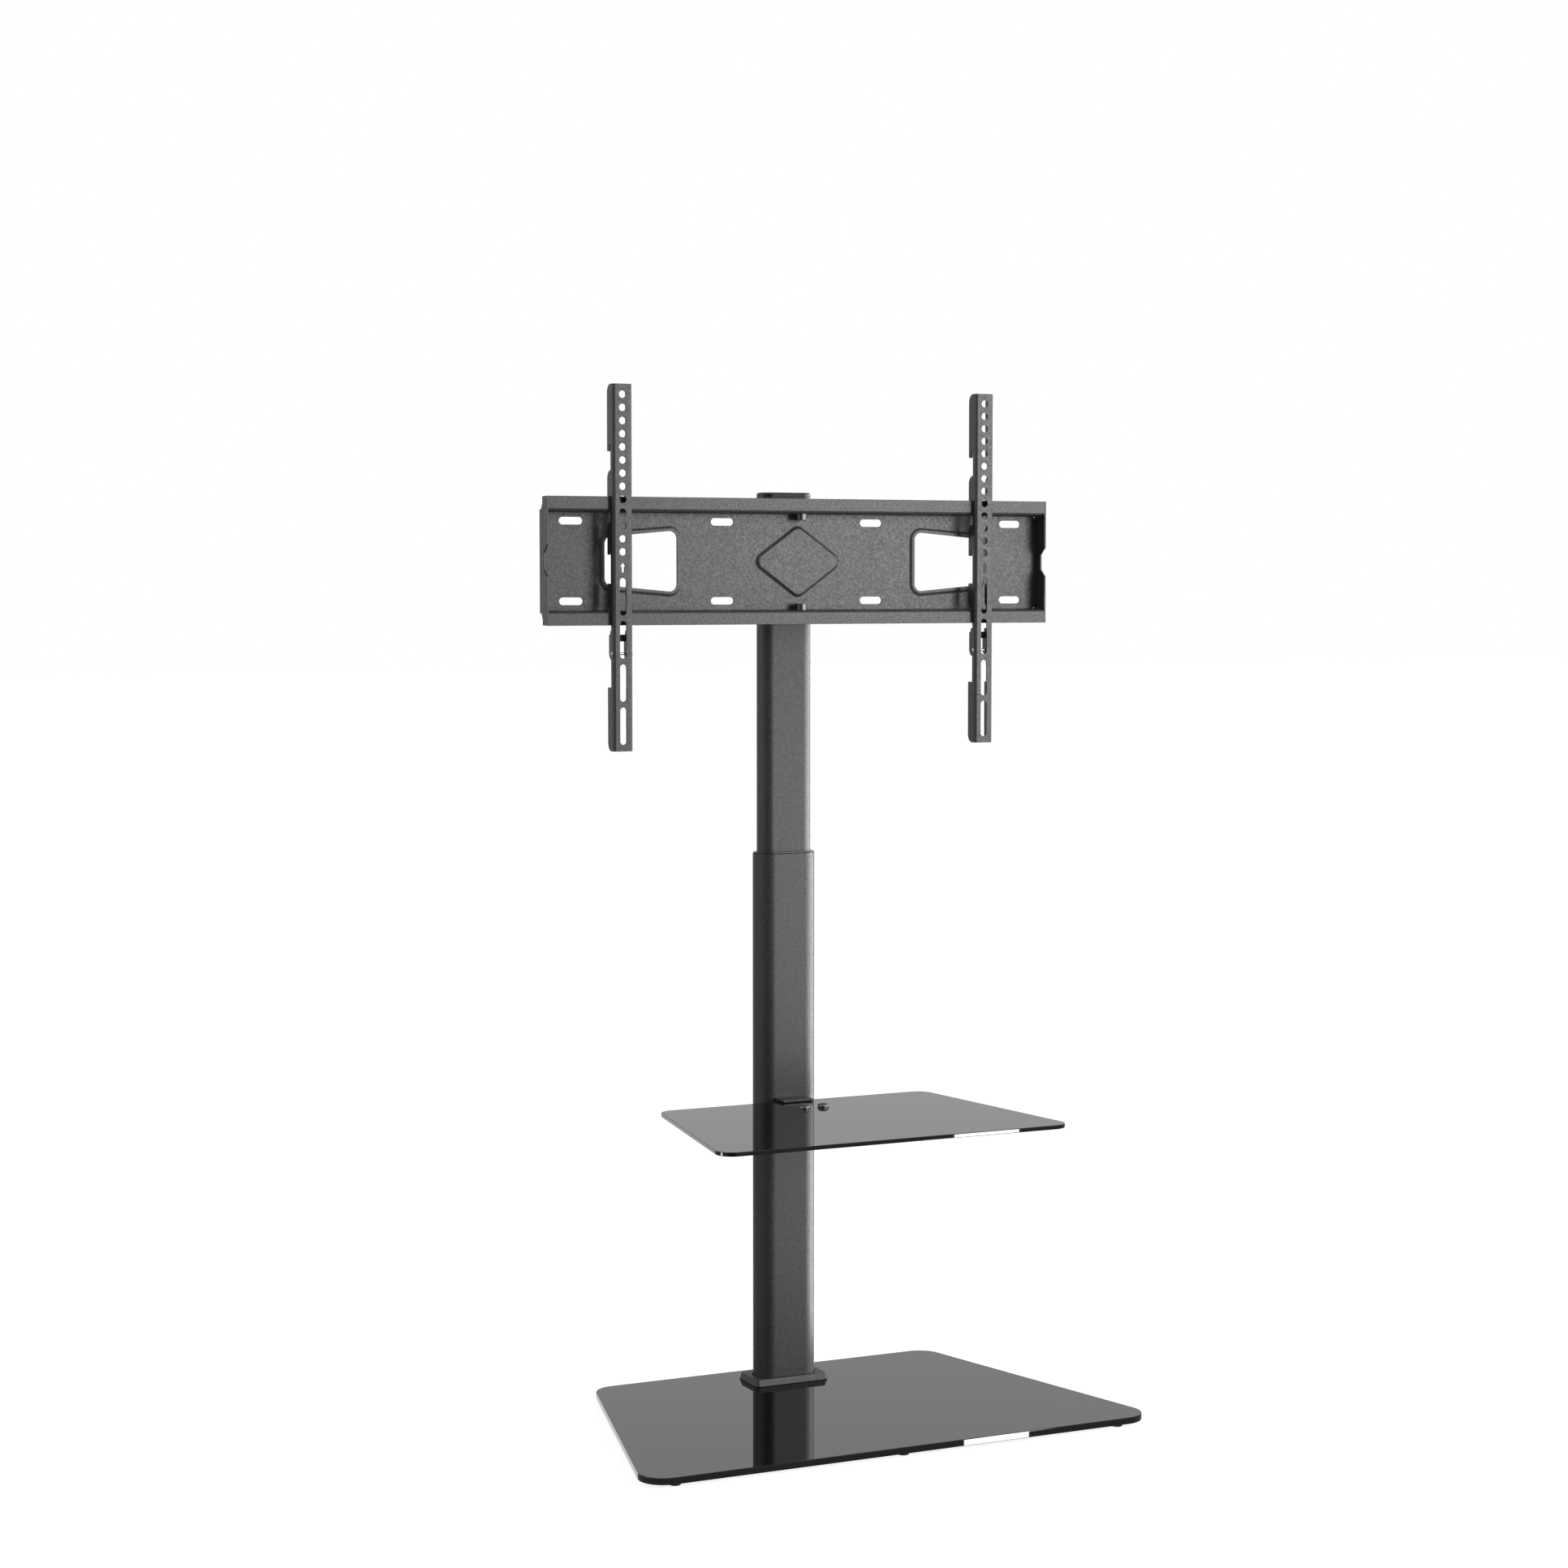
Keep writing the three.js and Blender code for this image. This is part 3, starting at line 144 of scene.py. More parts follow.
def bump(tree, shader, height, depth, strength, below=None):
    """Relief of the given depth in metres, over the relief below it."""
    node = tree.nodes.new("ShaderNodeBump")
    node.inputs["Distance"].default_value = depth
    node.inputs["Strength"].default_value = strength
    tree.links.new(height, node.inputs["Height"])
    if below is not None:
        tree.links.new(below, node.inputs["Normal"])
    tree.links.new(node.outputs["Normal"], shader.inputs["Normal"])
    return node.outputs["Normal"]


def finish(name, colours, colour_grain, gloss, gloss_grain, metallic=0.0, relief=()):
    """A finish whose colour and roughness vary with two grains, between two values each.

    Each layer of its relief has a grain, a depth in metres and a strength.
    """
    material, tree, shader = new_material(name)
    colour = ramp(tree, noise(tree, colour_grain, detail=3, roughness=0.6), *colours)
    tree.links.new(colour, shader.inputs["Base Color"])
    tree.links.new(ramp(tree, noise(tree, gloss_grain), *gloss), shader.inputs["Roughness"])
    shader.inputs["Metallic"].default_value = metallic
    below = None
    for grain, depth, strength in relief:
        below = bump(tree, shader, noise(tree, grain), depth, strength, below)
    return material


LOOKS = {
    "powder_coat": dict(
        colours=((0.022, 0.023, 0.024), (0.062, 0.063, 0.065)), colour_grain=480,
        gloss=(0.31, 0.49), gloss_grain=420, relief=[(360, 0.00012, 0.75), (900, 0.00010, 0.8)],
    ),
    "black_glass": dict(
        colours=((0.0050, 0.0052, 0.0056), (0.0065, 0.0067, 0.0072)), colour_grain=5,
        gloss=(0.010, 0.026), gloss_grain=9,
    ),
    "glass_edge": dict(
        colours=((0.008, 0.0085, 0.009), (0.011, 0.0115, 0.012)), colour_grain=60,
        gloss=(0.006, 0.014), gloss_grain=300,
    ),
    "black_plastic": dict(
        colours=((0.017, 0.017, 0.018), (0.030, 0.030, 0.031)), colour_grain=1400,
        gloss=(0.24, 0.32), gloss_grain=300, relief=[(1500, 0.00003, 0.4)],
    ),
    "grained_plastic": dict(
        colours=((0.018, 0.018, 0.019), (0.042, 0.042, 0.043)), colour_grain=500,
        gloss=(0.44, 0.58), gloss_grain=420, relief=[(420, 0.00010, 0.5), (1000, 0.00008, 0.6)],
    ),
    "rubber": dict(
        colours=((0.012, 0.012, 0.012), (0.026, 0.026, 0.026)), colour_grain=700,
        gloss=(0.72, 0.88), gloss_grain=200, relief=[(800, 0.00006, 0.6)],
    ),
    "nylon": dict(
        colours=((0.60, 0.58, 0.53), (0.70, 0.68, 0.63)), colour_grain=120,
        gloss=(0.38, 0.50), gloss_grain=500, relief=[(900, 0.00003, 0.4)],
    ),
    "black_screw": dict(
        colours=((0.110, 0.111, 0.114), (0.165, 0.166, 0.170)), colour_grain=500,
        gloss=(0.32, 0.44), gloss_grain=800, metallic=1.0, relief=[(1200, 0.00003, 0.4)],
    ),
    "black_steel": dict(
        colours=((0.026, 0.026, 0.028), (0.050, 0.050, 0.053)), colour_grain=500,
        gloss=(0.30, 0.42), gloss_grain=700, relief=[(1000, 0.00005, 0.4)],
    ),
    "zinc": dict(
        colours=((0.46, 0.47, 0.48), (0.62, 0.63, 0.64)), colour_grain=350,
        gloss=(0.24, 0.38), gloss_grain=600, metallic=1.0, relief=[(1100, 0.00003, 0.4)],
    ),
}
FINISHES = {name: finish(f"{name}_finish", **look) for name, look in LOOKS.items()}

# Outlines, in millimetres from the column's axis and the floor

GAP = 0.3  # between pieces that bear on each other
OVERRUN = 4  # how far a cut runs past the face it starts from
TURN = 96  # straight steps in a full turn
HOLE_TURN = TURN // 2  # the same round a turned piece or a screw's hole
EDGE_TURN = TURN // 6  # the same in the rounds of turned pieces and hexagons
EDGE_STEPS = 3  # steps in the round of an edge
CROWN_STEPS = 8  # steps in a pressed slope and in the round of the cap
EDGE = 0.3  # round on the edges of sheet and tube
FINEST = 0.02  # smallest radius left in a corner that is moved inwards
FLAT_END = FINEST / 10  # by how much a bar's round end falls short of a full half circle
MERGE = GAP / 100  # corners closer than this become one
MM = 0.001  # metres
COLUMN_Y = sum(corner.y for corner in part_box("inner_tube")) / 2  # metres
SHARP = math.radians(40)  # edges that bend more than this aren't smoothed


def arc(x, y, radius, start, end, steps):
    """Points on an arc about (x, y), with the given number of steps in a full turn."""
    count = max(2, round(abs(end - start) / (2 * math.pi) * steps))
    angles = [start + (end - start) * i / count for i in range(count + 1)]
    return [Vector((x + radius * math.cos(a), y + radius * math.sin(a))) for a in angles]


def circle(x, y, diameter):
    return arc(x, y, diameter / 2, 0, 2 * math.pi, HOLE_TURN)[1:]


def quarter(steps):
    """The angles that divide a quarter turn into the given number of steps."""
    return [math.pi / 2 * i / steps for i in range(steps + 1)]


def outline(corners, steps=TURN):
    """Points of a polygon whose corners (x, y, radius) are rounded by arcs."""
    points = []
    for i, (x, y, radius) in enumerate(corners):
        corner = Vector((x, y))
        if not radius:
            points.append(corner)
            continue
        back = (Vector(corners[i - 1][:2]) - corner).normalized()
        on = (Vector(corners[(i + 1) % len(corners)][:2]) - corner).normalized()
        half = back.angle(on) / 2
        centre = corner + (back + on).normalized() * (radius / math.sin(half))
        start = corner + back * (radius / math.tan(half)) - centre
        end = corner + on * (radius / math.tan(half)) - centre
        first = math.atan2(start.y, start.x)
        sweep = (math.atan2(end.y, end.x) - first + math.pi) % (2 * math.pi) - math.pi
        points += arc(centre.x, centre.y, radius, first, first + sweep, steps)
    return points


def inset(corners, distance):
    """The same corners moved inwards, or outwards if the distance is below zero."""
    pairs = zip(corners, [*corners[1:], corners[0]])
    if sum(a[0] * b[1] - b[0] * a[1] for a, b in pairs) < 0:
        corners = corners[::-1]
    moved = []
    for i, (x, y, radius) in enumerate(corners):
        corner = Vector((x, y))
        along = (corner - Vector(corners[i - 1][:2])).normalized()
        on = (Vector(corners[(i + 1) % len(corners)][:2]) - corner).normalized()
        inwards = Vector((-along.y - on.y, along.x + on.x)) / (1 + along.dot(on))
        place = corner + inwards * distance
        moved.append((place.x, place.y, max(radius - distance, FINEST) if radius else 0))
    return moved


def rectangle(width, height, radius, x=0, y=0):
    left, right = x - width / 2, x + width / 2
    low, high = y - height / 2, y + height / 2
    return [(left, low, radius), (right, low, radius), (right, high, radius), (left, high, radius)]


def round_ended(width, height, x=0, y=0):
    """Corners of a bar with round ends."""
    return rectangle(width, height, min(width, height) / 2 - FLAT_END, x, y)


def disc(diameter, x=0, y=0):
    return round_ended(diameter, diameter, x, y)


def folded_sheet(path, thickness, radius, edge=EDGE):
    """Corners of a folded sheet whose middle follows the path.

    A bend has the given radius on its inside. The sheet's own edges are rounded by the edge's width.
    """
    path = [Vector(point) for point in path]
    sides = {-1: [], 1: []}
    for i, point in enumerate(path):
        before = (path[max(i, 1)] - path[max(i, 1) - 1]).normalized()
        after = (path[min(i + 1, len(path) - 1)] - path[min(i, len(path) - 2)]).normalized()
        turn = before.cross(after)
        for side, corners in sides.items():
            mitre = side * thickness / 2 / (1 + before.dot(after))
            corner = point + Vector((-before.y - after.y, before.x + after.x)) * mitre
            bend = radius if (turn > 0) == (side > 0) else radius + thickness
            corners.append((corner.x, corner.y, edge if point in (path[0], path[-1]) else bend))
    return sides[-1] + sides[1][::-1]


# Solids, in millimetres

AXES = {
    "x": Matrix(((0, 0, 1), (1, 0, 0), (0, 1, 0))),
    "y": Matrix(((1, 0, 0), (0, 0, 1), (0, 1, 0))),
    "z": Matrix.Identity(3),
}


def solid(vertices, faces, axis="z"):
    """A closed mesh. Outlines for x are drawn in (y, z), and for y in (x, z)."""
    mesh = bpy.data.meshes.new("solid")
    mesh.from_pydata([AXES[axis] @ Vector(v) for v in vertices], [], faces)
    work = bmesh.new()
    work.from_mesh(mesh)
    bmesh.ops.recalc_face_normals(work, faces=work.faces)
    work.to_mesh(mesh)
    work.free()
    return mesh


def prism(axis, points, low, high):
    """A straight extrusion from one level to the next."""
    count = len(points)
    caps = tessellate_polygon([[Vector((p.x, p.y, 0)) for p in points]])
    faces = [tuple(cap) for cap in caps] + [tuple(i + count for i in cap) for cap in caps]
    for a in range(count):
        b = (a + 1) % count
        faces.append((a, b, b + count, a + count))
    vertices = [(p.x, p.y, level) for level in (low, high) for p in points]
    return solid(vertices, faces, axis)


def loft(axis, sections):
    """A solid between outlines of equal count, given as (points, level)."""
    count = len(sections[0][0])
    vertices = [(p.x, p.y, level) for points, level in sections for p in points]
    last = (len(sections) - 1) * count
    faces = [tuple(range(count)), tuple(last + i for i in range(count))]
    for ring in range(0, last, count):
        for i in range(count):
            a, b = ring + i, ring + (i + 1) % count
            faces.append((a, b, b + count, a + count))
    return solid(vertices, faces, axis)


def rounds(low, high, width):
    """Pairs (inset, level) that round both ends of a solid by the given width."""
    rise = [(width * (1 - math.sin(a)), width * (1 - math.cos(a))) for a in quarter(EDGE_STEPS)]
    return [(side, low + up) for side, up in rise] + [(side, high - up) for side, up in reversed(rise)]


def slab(axis, corners, low, high, width=EDGE):
    """A straight extrusion whose two ends have rounded edges."""
    levels = rounds(low, high, width)
    return loft(axis, [(outline(inset(corners, side)), level) for side, level in levels])


def opening(axis, corners, low, high, steps=TURN):
    """A cutter that goes through a wall between two levels and rounds the rims of its hole."""
    levels = [(EDGE, low - OVERRUN), *rounds(low, high, EDGE), (EDGE, high + OVERRUN)]
    return loft(axis, [(outline(inset(corners, -side), steps), level) for side, level in levels])


def turned(profile):
    """A piece turned about +Z, from (radius, height) pairs that start and end on the axis."""
    vertices, rings = [], []
    for radius, height in profile:
        ring = [len(vertices)]
        if radius > 0:
            ring = list(range(len(vertices), len(vertices) + HOLE_TURN))
        for i in range(len(ring)):
            angle = 2 * math.pi * i / HOLE_TURN
            vertices.append((radius * math.cos(angle), radius * math.sin(angle), height))
        rings.append(ring)
    faces = []
    for low, high in zip(rings, rings[1:]):
        for i in range(HOLE_TURN):
            lower = [low[i % len(low)], low[(i + 1) % len(low)]]
            upper = [high[(i + 1) % len(high)], high[i % len(high)]]
            faces.append(tuple(dict.fromkeys(lower + upper)))
    return solid(vertices, faces)


def combined(first, others, operation):
    """The first solid after a UNION, DIFFERENCE or INTERSECT with each of the others."""
    holder = bpy.data.objects.new("holder", first)
    scene.collection.objects.link(holder)
    tools = []
    for mesh in others:
        tool = bpy.data.objects.new("tool", mesh)
        scene.collection.objects.link(tool)
        tools.append(tool)
        step = holder.modifiers.new("step", "BOOLEAN")
        step.operation = operation
        step.solver = "MANIFOLD"
        step.object = tool
    finished = holder.evaluated_get(bpy.context.evaluated_depsgraph_get())
    result = bpy.data.meshes.new_from_object(finished)
    for obj in [holder, *tools]:
        bpy.data.objects.remove(obj)
    return result


def added(first, *others):
    return combined(first, others, "UNION")


def cut(first, *others):
    return combined(first, others, "DIFFERENCE")


def placed(mesh, place, direction=(0, 0, 1)):
    """A copy of a solid, turned from +Z towards the direction and moved to the place."""
    copy = mesh.copy()
    copy.transform(Vector((0, 0, 1)).rotation_difference(Vector(direction)).to_matrix().to_4x4())
    copy.transform(Matrix.Translation(place))
    return copy


def keep_flat(obj):
    """Lets the large faces set the shading beside the rounds."""
    normals = obj.modifiers.new("normals", "WEIGHTED_NORMAL")
    normals.weight = 100
    normals.keep_sharp = True


def piece(name, mesh, material, node):
    """Adds a finished piece that stands for a CAD node and rides on its body."""
    mesh.transform(Matrix.Translation((0, COLUMN_Y, 0)) @ Matrix.Scale(MM, 4))
    work = bmesh.new()
    work.from_mesh(mesh)
    bmesh.ops.remove_doubles(work, verts=work.verts, dist=MERGE * MM)
    many_sided = [face for face in work.faces if len(face.verts) > 4]
    bmesh.ops.triangulate(work, faces=many_sided, ngon_method="BEAUTY")
    bmesh.ops.dissolve_degenerate(work, edges=work.edges, dist=MERGE * MM)
    for edge in work.edges:
        edge.smooth = len(edge.link_faces) != 2 or edge.calc_face_angle() < SHARP
    for face in work.faces:
        face.smooth = True
    work.to_mesh(mesh)
    work.free()
    mesh.materials.clear()
    mesh.materials.append(FINISHES[material])
    obj = bpy.data.objects.new(name, mesh)
    scene.collection.objects.link(obj)
    keep_flat(obj)
    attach(obj, *body_of(nodes[node]))
    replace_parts(obj, node)
    return obj


SIDES = (("left", -1), ("right", 1))


def span(node):
    """A CAD node's lowest and highest corner, in millimetres from the column's axis and the floor."""
    return tuple((corner - Vector((0, COLUMN_Y, 0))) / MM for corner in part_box(node))


def middle_of(node):
    """The middle of a CAD node's box."""
    low, high = span(node)
    return (low + high) / 2


# Base and shelf glass

BASE_FRONT_WIDTH = 666.5
BASE_BACK_WIDTH = 461.9
BASE_DEPTH = 400
BASE_BEHIND_COLUMN = 58.8
BASE_CORNER = 30
SHELF_FRONT_WIDTH = 456.9
SHELF_BACK_WIDTH = 361.2
SHELF_DEPTH = 290.9
SHELF_BACK_Y = -28.4
SHELF_CORNER = 20
BASE_GLASS_HOLE = 10
BASE_BOLTS = [f"base_bolt_{i + 1}" for i in range(4)]
ARRIS = 0.8
LEVEL_SHARE = 0.99  # faces whose normals stand more upright than this are the two large ones
SMALLEST_FACE = 1e-7  # square metres; the shading ranks faces down to this size


def glass_sheet(name, corners, holes):
    """A drilled sheet of black glass with polished edges, and a small arris round each face."""
    low, high = span(name)
    drills = [opening("z", disc(diameter, x, y), low.z, high.z) for x, y, diameter in holes]
    sheet = cut(slab("z", corners, low.z, high.z, ARRIS), *drills)
    obj = piece(f"{name}_sheet", sheet, "black_glass", name)
    obj.modifiers["normals"].thresh = SMALLEST_FACE
    obj.data.materials.append(FINISHES["glass_edge"])
    for face in obj.data.polygons:
        face.material_index = 0 if abs(face.normal.z) > LEVEL_SHARE else 1


def trapezoid(front_width, back_width, front_y, back_y, radius):
    return [
        (-front_width / 2, front_y, radius),
        (front_width / 2, front_y, radius),
        (back_width / 2, back_y, radius),
        (-back_width / 2, back_y, radius),
    ]


def add_base_glass():
    front = BASE_BEHIND_COLUMN - BASE_DEPTH
    corners = trapezoid(BASE_FRONT_WIDTH, BASE_BACK_WIDTH, front, BASE_BEHIND_COLUMN, BASE_CORNER)
    bolts = [middle_of(bolt) for bolt in BASE_BOLTS]
    glass_sheet("base_glass", corners, [(bolt.x, bolt.y, BASE_GLASS_HOLE) for bolt in bolts])


def add_shelf_glass():
    front = SHELF_BACK_Y - SHELF_DEPTH
    corners = trapezoid(SHELF_FRONT_WIDTH, SHELF_BACK_WIDTH, front, SHELF_BACK_Y, SHELF_CORNER)
    holes = []
    for side, _ in SIDES:
        low, high = span(f"shelf_bushing_{side}")
        place = (low + high) / 2
        holes.append((place.x, place.y, high.x - low.x + 2 * GAP))
    glass_sheet("shelf_glass", corners, holes)


add_base_glass()
add_shelf_glass()


# Mount plate

PLATE_LOW, PLATE_HIGH = span("mount_plate")
PLATE_HALF = PLATE_HIGH.x
PLATE_TOP = PLATE_HIGH.z
PLATE_BOTTOM = PLATE_LOW.z
PLATE_MIDDLE = (PLATE_TOP + PLATE_BOTTOM) / 2
LIP_FRONT = PLATE_LOW.y
WEB_BACK = PLATE_HIGH.y
PLATE_STEEL = 2.3
LIP_BACK = LIP_FRONT + PLATE_STEEL
WEB_FRONT = WEB_BACK - PLATE_STEEL
TOP_LIP = 15.3
BOTTOM_LIP = 14.2
FLANGE_TOP = PLATE_TOP - TOP_LIP
FLANGE_BOTTOM = PLATE_BOTTOM + BOTTOM_LIP
BEND = 1.5
EAR_DEPTH = 14
EAR_CHAMFER = (4, 7)  # depth and height
NOTCH_DEPTH = 10.5
NOTCH_MOUTH = 36.8
NOTCH_FLOOR = 19.2
NOTCH_ROUND = 2
END_BEND = 3
RELIEF = (2, 4.5, 1)  # width, height, and the metal left beside it
SWIVEL_Y = -50
SWIVEL_BOLT = 8
DIAMOND = (130, 92.6, 12)  # width, height, and the radius of its corners
DIAMOND_RISE = 2.5
DIAMOND_SLOPE = 4.5
WINDOW_X = (160, 253)  # inner and outer end
WINDOW_HEIGHTS = (73.6, 57)  # at its inner and outer end
WINDOW_CORNER = 9
BEAD_WIDTH = 7
BEAD_RISE = 1.5
BEAD_SLOPE = 4
SLOT = (30, 9)  # length and width
SLOT_X = (100, 295)
SLOT_ROWS = 94.6


def press(sheet, corners, rise, slope):
    """Presses a region forward with a rounded edge: its face rises, and its back is hollowed by as much."""
    sections = []
    for i in range(CROWN_STEPS + 1):
        level = (1 - math.cos(math.pi * i / CROWN_STEPS)) / 2
        points = outline(inset(corners, slope * i / CROWN_STEPS))
        sections.append((points, WEB_FRONT - rise * level))
    back = [(points, level + PLATE_STEEL) for points, level in sections]
    return cut(added(sheet, loft("y", sections)), loft("y", back))


def end_wall():
    """Corners of the wall that closes the plate's end, with the ears that close its lips."""
    inside = PLATE_STEEL / 2
    ear = LIP_FRONT + EAR_DEPTH
    chamfer_depth, chamfer_height = EAR_CHAMFER
    chamfer_foot = ear + chamfer_depth * (1 + inside / chamfer_height)

    def half(flange, edge, up):
        """The half above the middle, where up is 1, or the one below, where it is -1."""
        return [
            (LIP_FRONT + NOTCH_DEPTH, PLATE_MIDDLE + up * NOTCH_FLOOR / 2, NOTCH_ROUND),
            (LIP_FRONT, PLATE_MIDDLE + up * NOTCH_MOUTH / 2, NOTCH_ROUND),
            (LIP_FRONT, flange + up * chamfer_height, 0),
            (LIP_FRONT + inside, flange + up * chamfer_height, 0),
            (LIP_FRONT + inside, edge - up * GAP, 0),
            (ear, edge - up * GAP, BEND),
            (ear, flange + up * chamfer_height, 0),
            (chamfer_foot, flange - up * inside, 0),
            (WEB_BACK - inside, flange - up * inside, 0),
        ]

    return half(FLANGE_TOP, PLATE_TOP, 1) + half(FLANGE_BOTTOM, PLATE_BOTTOM, -1)[::-1]


def window(side, grow=0):
    """Corners of a window on one side of the plate."""
    inner, outer = WINDOW_X[0] - grow, WINDOW_X[1] + grow
    inner_half, outer_half = (height / 2 + grow for height in WINDOW_HEIGHTS)
    corners = [(inner, -inner_half), (outer, -outer_half), (outer, outer_half), (inner, inner_half)]
    return [(side * x, PLATE_MIDDLE + z, WINDOW_CORNER + grow) for x, z in corners]


def add_mount_plate():
    middle = PLATE_STEEL / 2
    section = folded_sheet([
        (LIP_FRONT + middle, PLATE_TOP),
        (LIP_FRONT + middle, FLANGE_TOP - middle),
        (WEB_BACK - middle, FLANGE_TOP - middle),
        (WEB_BACK - middle, FLANGE_BOTTOM + middle),
        (LIP_FRONT + middle, FLANGE_BOTTOM + middle),
        (LIP_FRONT + middle, PLATE_BOTTOM),
    ], PLATE_STEEL, BEND)
    ends = (-PLATE_HALF, PLATE_HALF - PLATE_STEEL)
    walls = [slab("x", end_wall(), x, x + PLATE_STEEL) for x in ends]
    plan = outline([
        (-PLATE_HALF, LIP_FRONT, EDGE),
        (PLATE_HALF, LIP_FRONT, EDGE),
        (PLATE_HALF, WEB_BACK, END_BEND),
        (-PLATE_HALF, WEB_BACK, END_BEND),
    ])
    sheet = added(slab("x", section, -PLATE_HALF, PLATE_HALF), *walls)
    sheet = combined(sheet, [prism("z", plan, PLATE_BOTTOM, PLATE_TOP)], "INTERSECT")
    width, height, corner = DIAMOND
    diamond = [
        (0, PLATE_MIDDLE - height / 2, corner),
        (width / 2, PLATE_MIDDLE, corner),
        (0, PLATE_MIDDLE + height / 2, corner),
        (-width / 2, PLATE_MIDDLE, corner),
    ]
    sheet = press(sheet, diamond, DIAMOND_RISE, DIAMOND_SLOPE)
    for _, side in SIDES:
        sheet = press(sheet, window(side, BEAD_WIDTH), BEAD_RISE, BEAD_SLOPE)
    front, back = WEB_FRONT - BEAD_RISE, WEB_BACK - BEAD_RISE
    cutters = [opening("y", window(side), front, back) for _, side in SIDES]
    for _, side in SIDES:
        for x in SLOT_X:
            for _, row in SIDES:
                slot = round_ended(*SLOT, side * x, PLATE_MIDDLE + row * SLOT_ROWS / 2)
                cutters.append(opening("y", slot, WEB_FRONT, WEB_BACK, steps=HOLE_TURN))
    relief_width, relief_height, relief_edge = RELIEF
    for _, side in SIDES:
        for flange, inward in ((FLANGE_TOP - PLATE_STEEL, -1), (FLANGE_BOTTOM + PLATE_STEEL, 1)):
            x = side * (PLATE_HALF - PLATE_STEEL - relief_edge)
            z = flange + inward * relief_edge
            relief = [(x, z), (x - side * relief_width, z), (x, z + inward * relief_height)]
            relief = [Vector(corner) for corner in relief]
            cutters.append(prism("y", relief, WEB_FRONT - OVERRUN, WEB_BACK + OVERRUN))
    bolt_hole = disc(SWIVEL_BOLT + 2 * GAP, 0, SWIVEL_Y)
    for flange in (FLANGE_TOP - PLATE_STEEL, FLANGE_BOTTOM):
        cutters.append(opening("z", bolt_hole, flange, flange + PLATE_STEEL, steps=HOLE_TURN))
    piece("mount_plate_sheet", cut(sheet, *cutters), "powder_coat", "mount_plate")


# Arms, with the hooks in their cheeks

ARM_LOW, ARM_HIGH = span("arm_right")
ARM_TOP = ARM_HIGH.z
ARM_BOTTOM = ARM_LOW.z
ARM_X = (ARM_LOW.x + ARM_HIGH.x) / 2
ARM_FRONT = ARM_LOW.y
ARM_HALF = 12.5
ARM_STEEL = 2
ARM_INNER = ARM_FRONT + ARM_STEEL
CHEEK_DEPTH = 18.2
CHEEK_BACK = ARM_FRONT + CHEEK_DEPTH
CHEEK_NECK = LIP_FRONT - GAP
CHEEK_CORNER = 10
ARM_HOLE = 8.8
ARM_HOLE_PITCH = 15.34
ARM_HOLE_COUNT = 13
ARM_FIRST_HOLE = 12.3
ARM_SLOT = (8, 44)  # width and height
ARM_SLOT_PITCH = 50.8
ARM_SLOT_COUNT = 4
ARM_FIRST_SLOT = 226.9
ARROW_TOP = 208.4  # below the arm's top
ARROW_HEIGHT = 12.1
ARROW_HEAD = (6.6, 5.4)  # width and height
ARROW_SHAFT = 3
HOOK_PITCH = 60.6
HOOK_LENGTH = 8
HOOK_GAP = 0.8
HOOK_FRONT = LIP_BACK + HOOK_GAP
HOOK_ROUND = 1.5
HOOK_NECK = 30.2
BLOCK_GAP = 1.5
BLOCK_HEIGHT = 31.2
BLOCK_BOTTOM = FLANGE_BOTTOM + PLATE_STEEL + BLOCK_GAP
BLOCK_TOP = BLOCK_BOTTOM + BLOCK_HEIGHT
LOWER_CHEEK = 75.4
LOWER_CHEEK_TOP = ARM_BOTTOM + LOWER_CHEEK

# Latches

LATCH_STEEL = 1.5
LATCH_GAP = 6.4  # tip to the plate
LATCH_HEIGHT = 34.8
LATCH_REACH = 9.5  # behind the plate's lip
LATCH_ROUNDS = (5, 9)  # lower corners, at the front and at the back
LATCH_LEAN_SHARE = 0.344  # of the height above its pin, as its front edge's lean
LATCH_WEB = 8
BEAK_HEIGHT = 4.5
BEAK_THICKNESS = 5.1
PIN_BELOW_TIP = 27
PIN_BEHIND_FACE = 3
PIN_DIAMETER = 3
PIN_GAP = 0.15
PIN_HEAD = (5, 0.8)  # diameter and rise
PIN_DOME_STEPS = 5
LATCH_TIP = PLATE_BOTTOM - LATCH_GAP
LATCH_BOTTOM = LATCH_TIP - LATCH_HEIGHT
LATCH_BODY_TOP = LATCH_TIP - BEAK_HEIGHT
LATCH_BACK = LIP_BACK + LATCH_REACH
PIN_LEVEL = LATCH_TIP - PIN_BELOW_TIP
PIN_Y = ARM_INNER + PIN_BEHIND_FACE


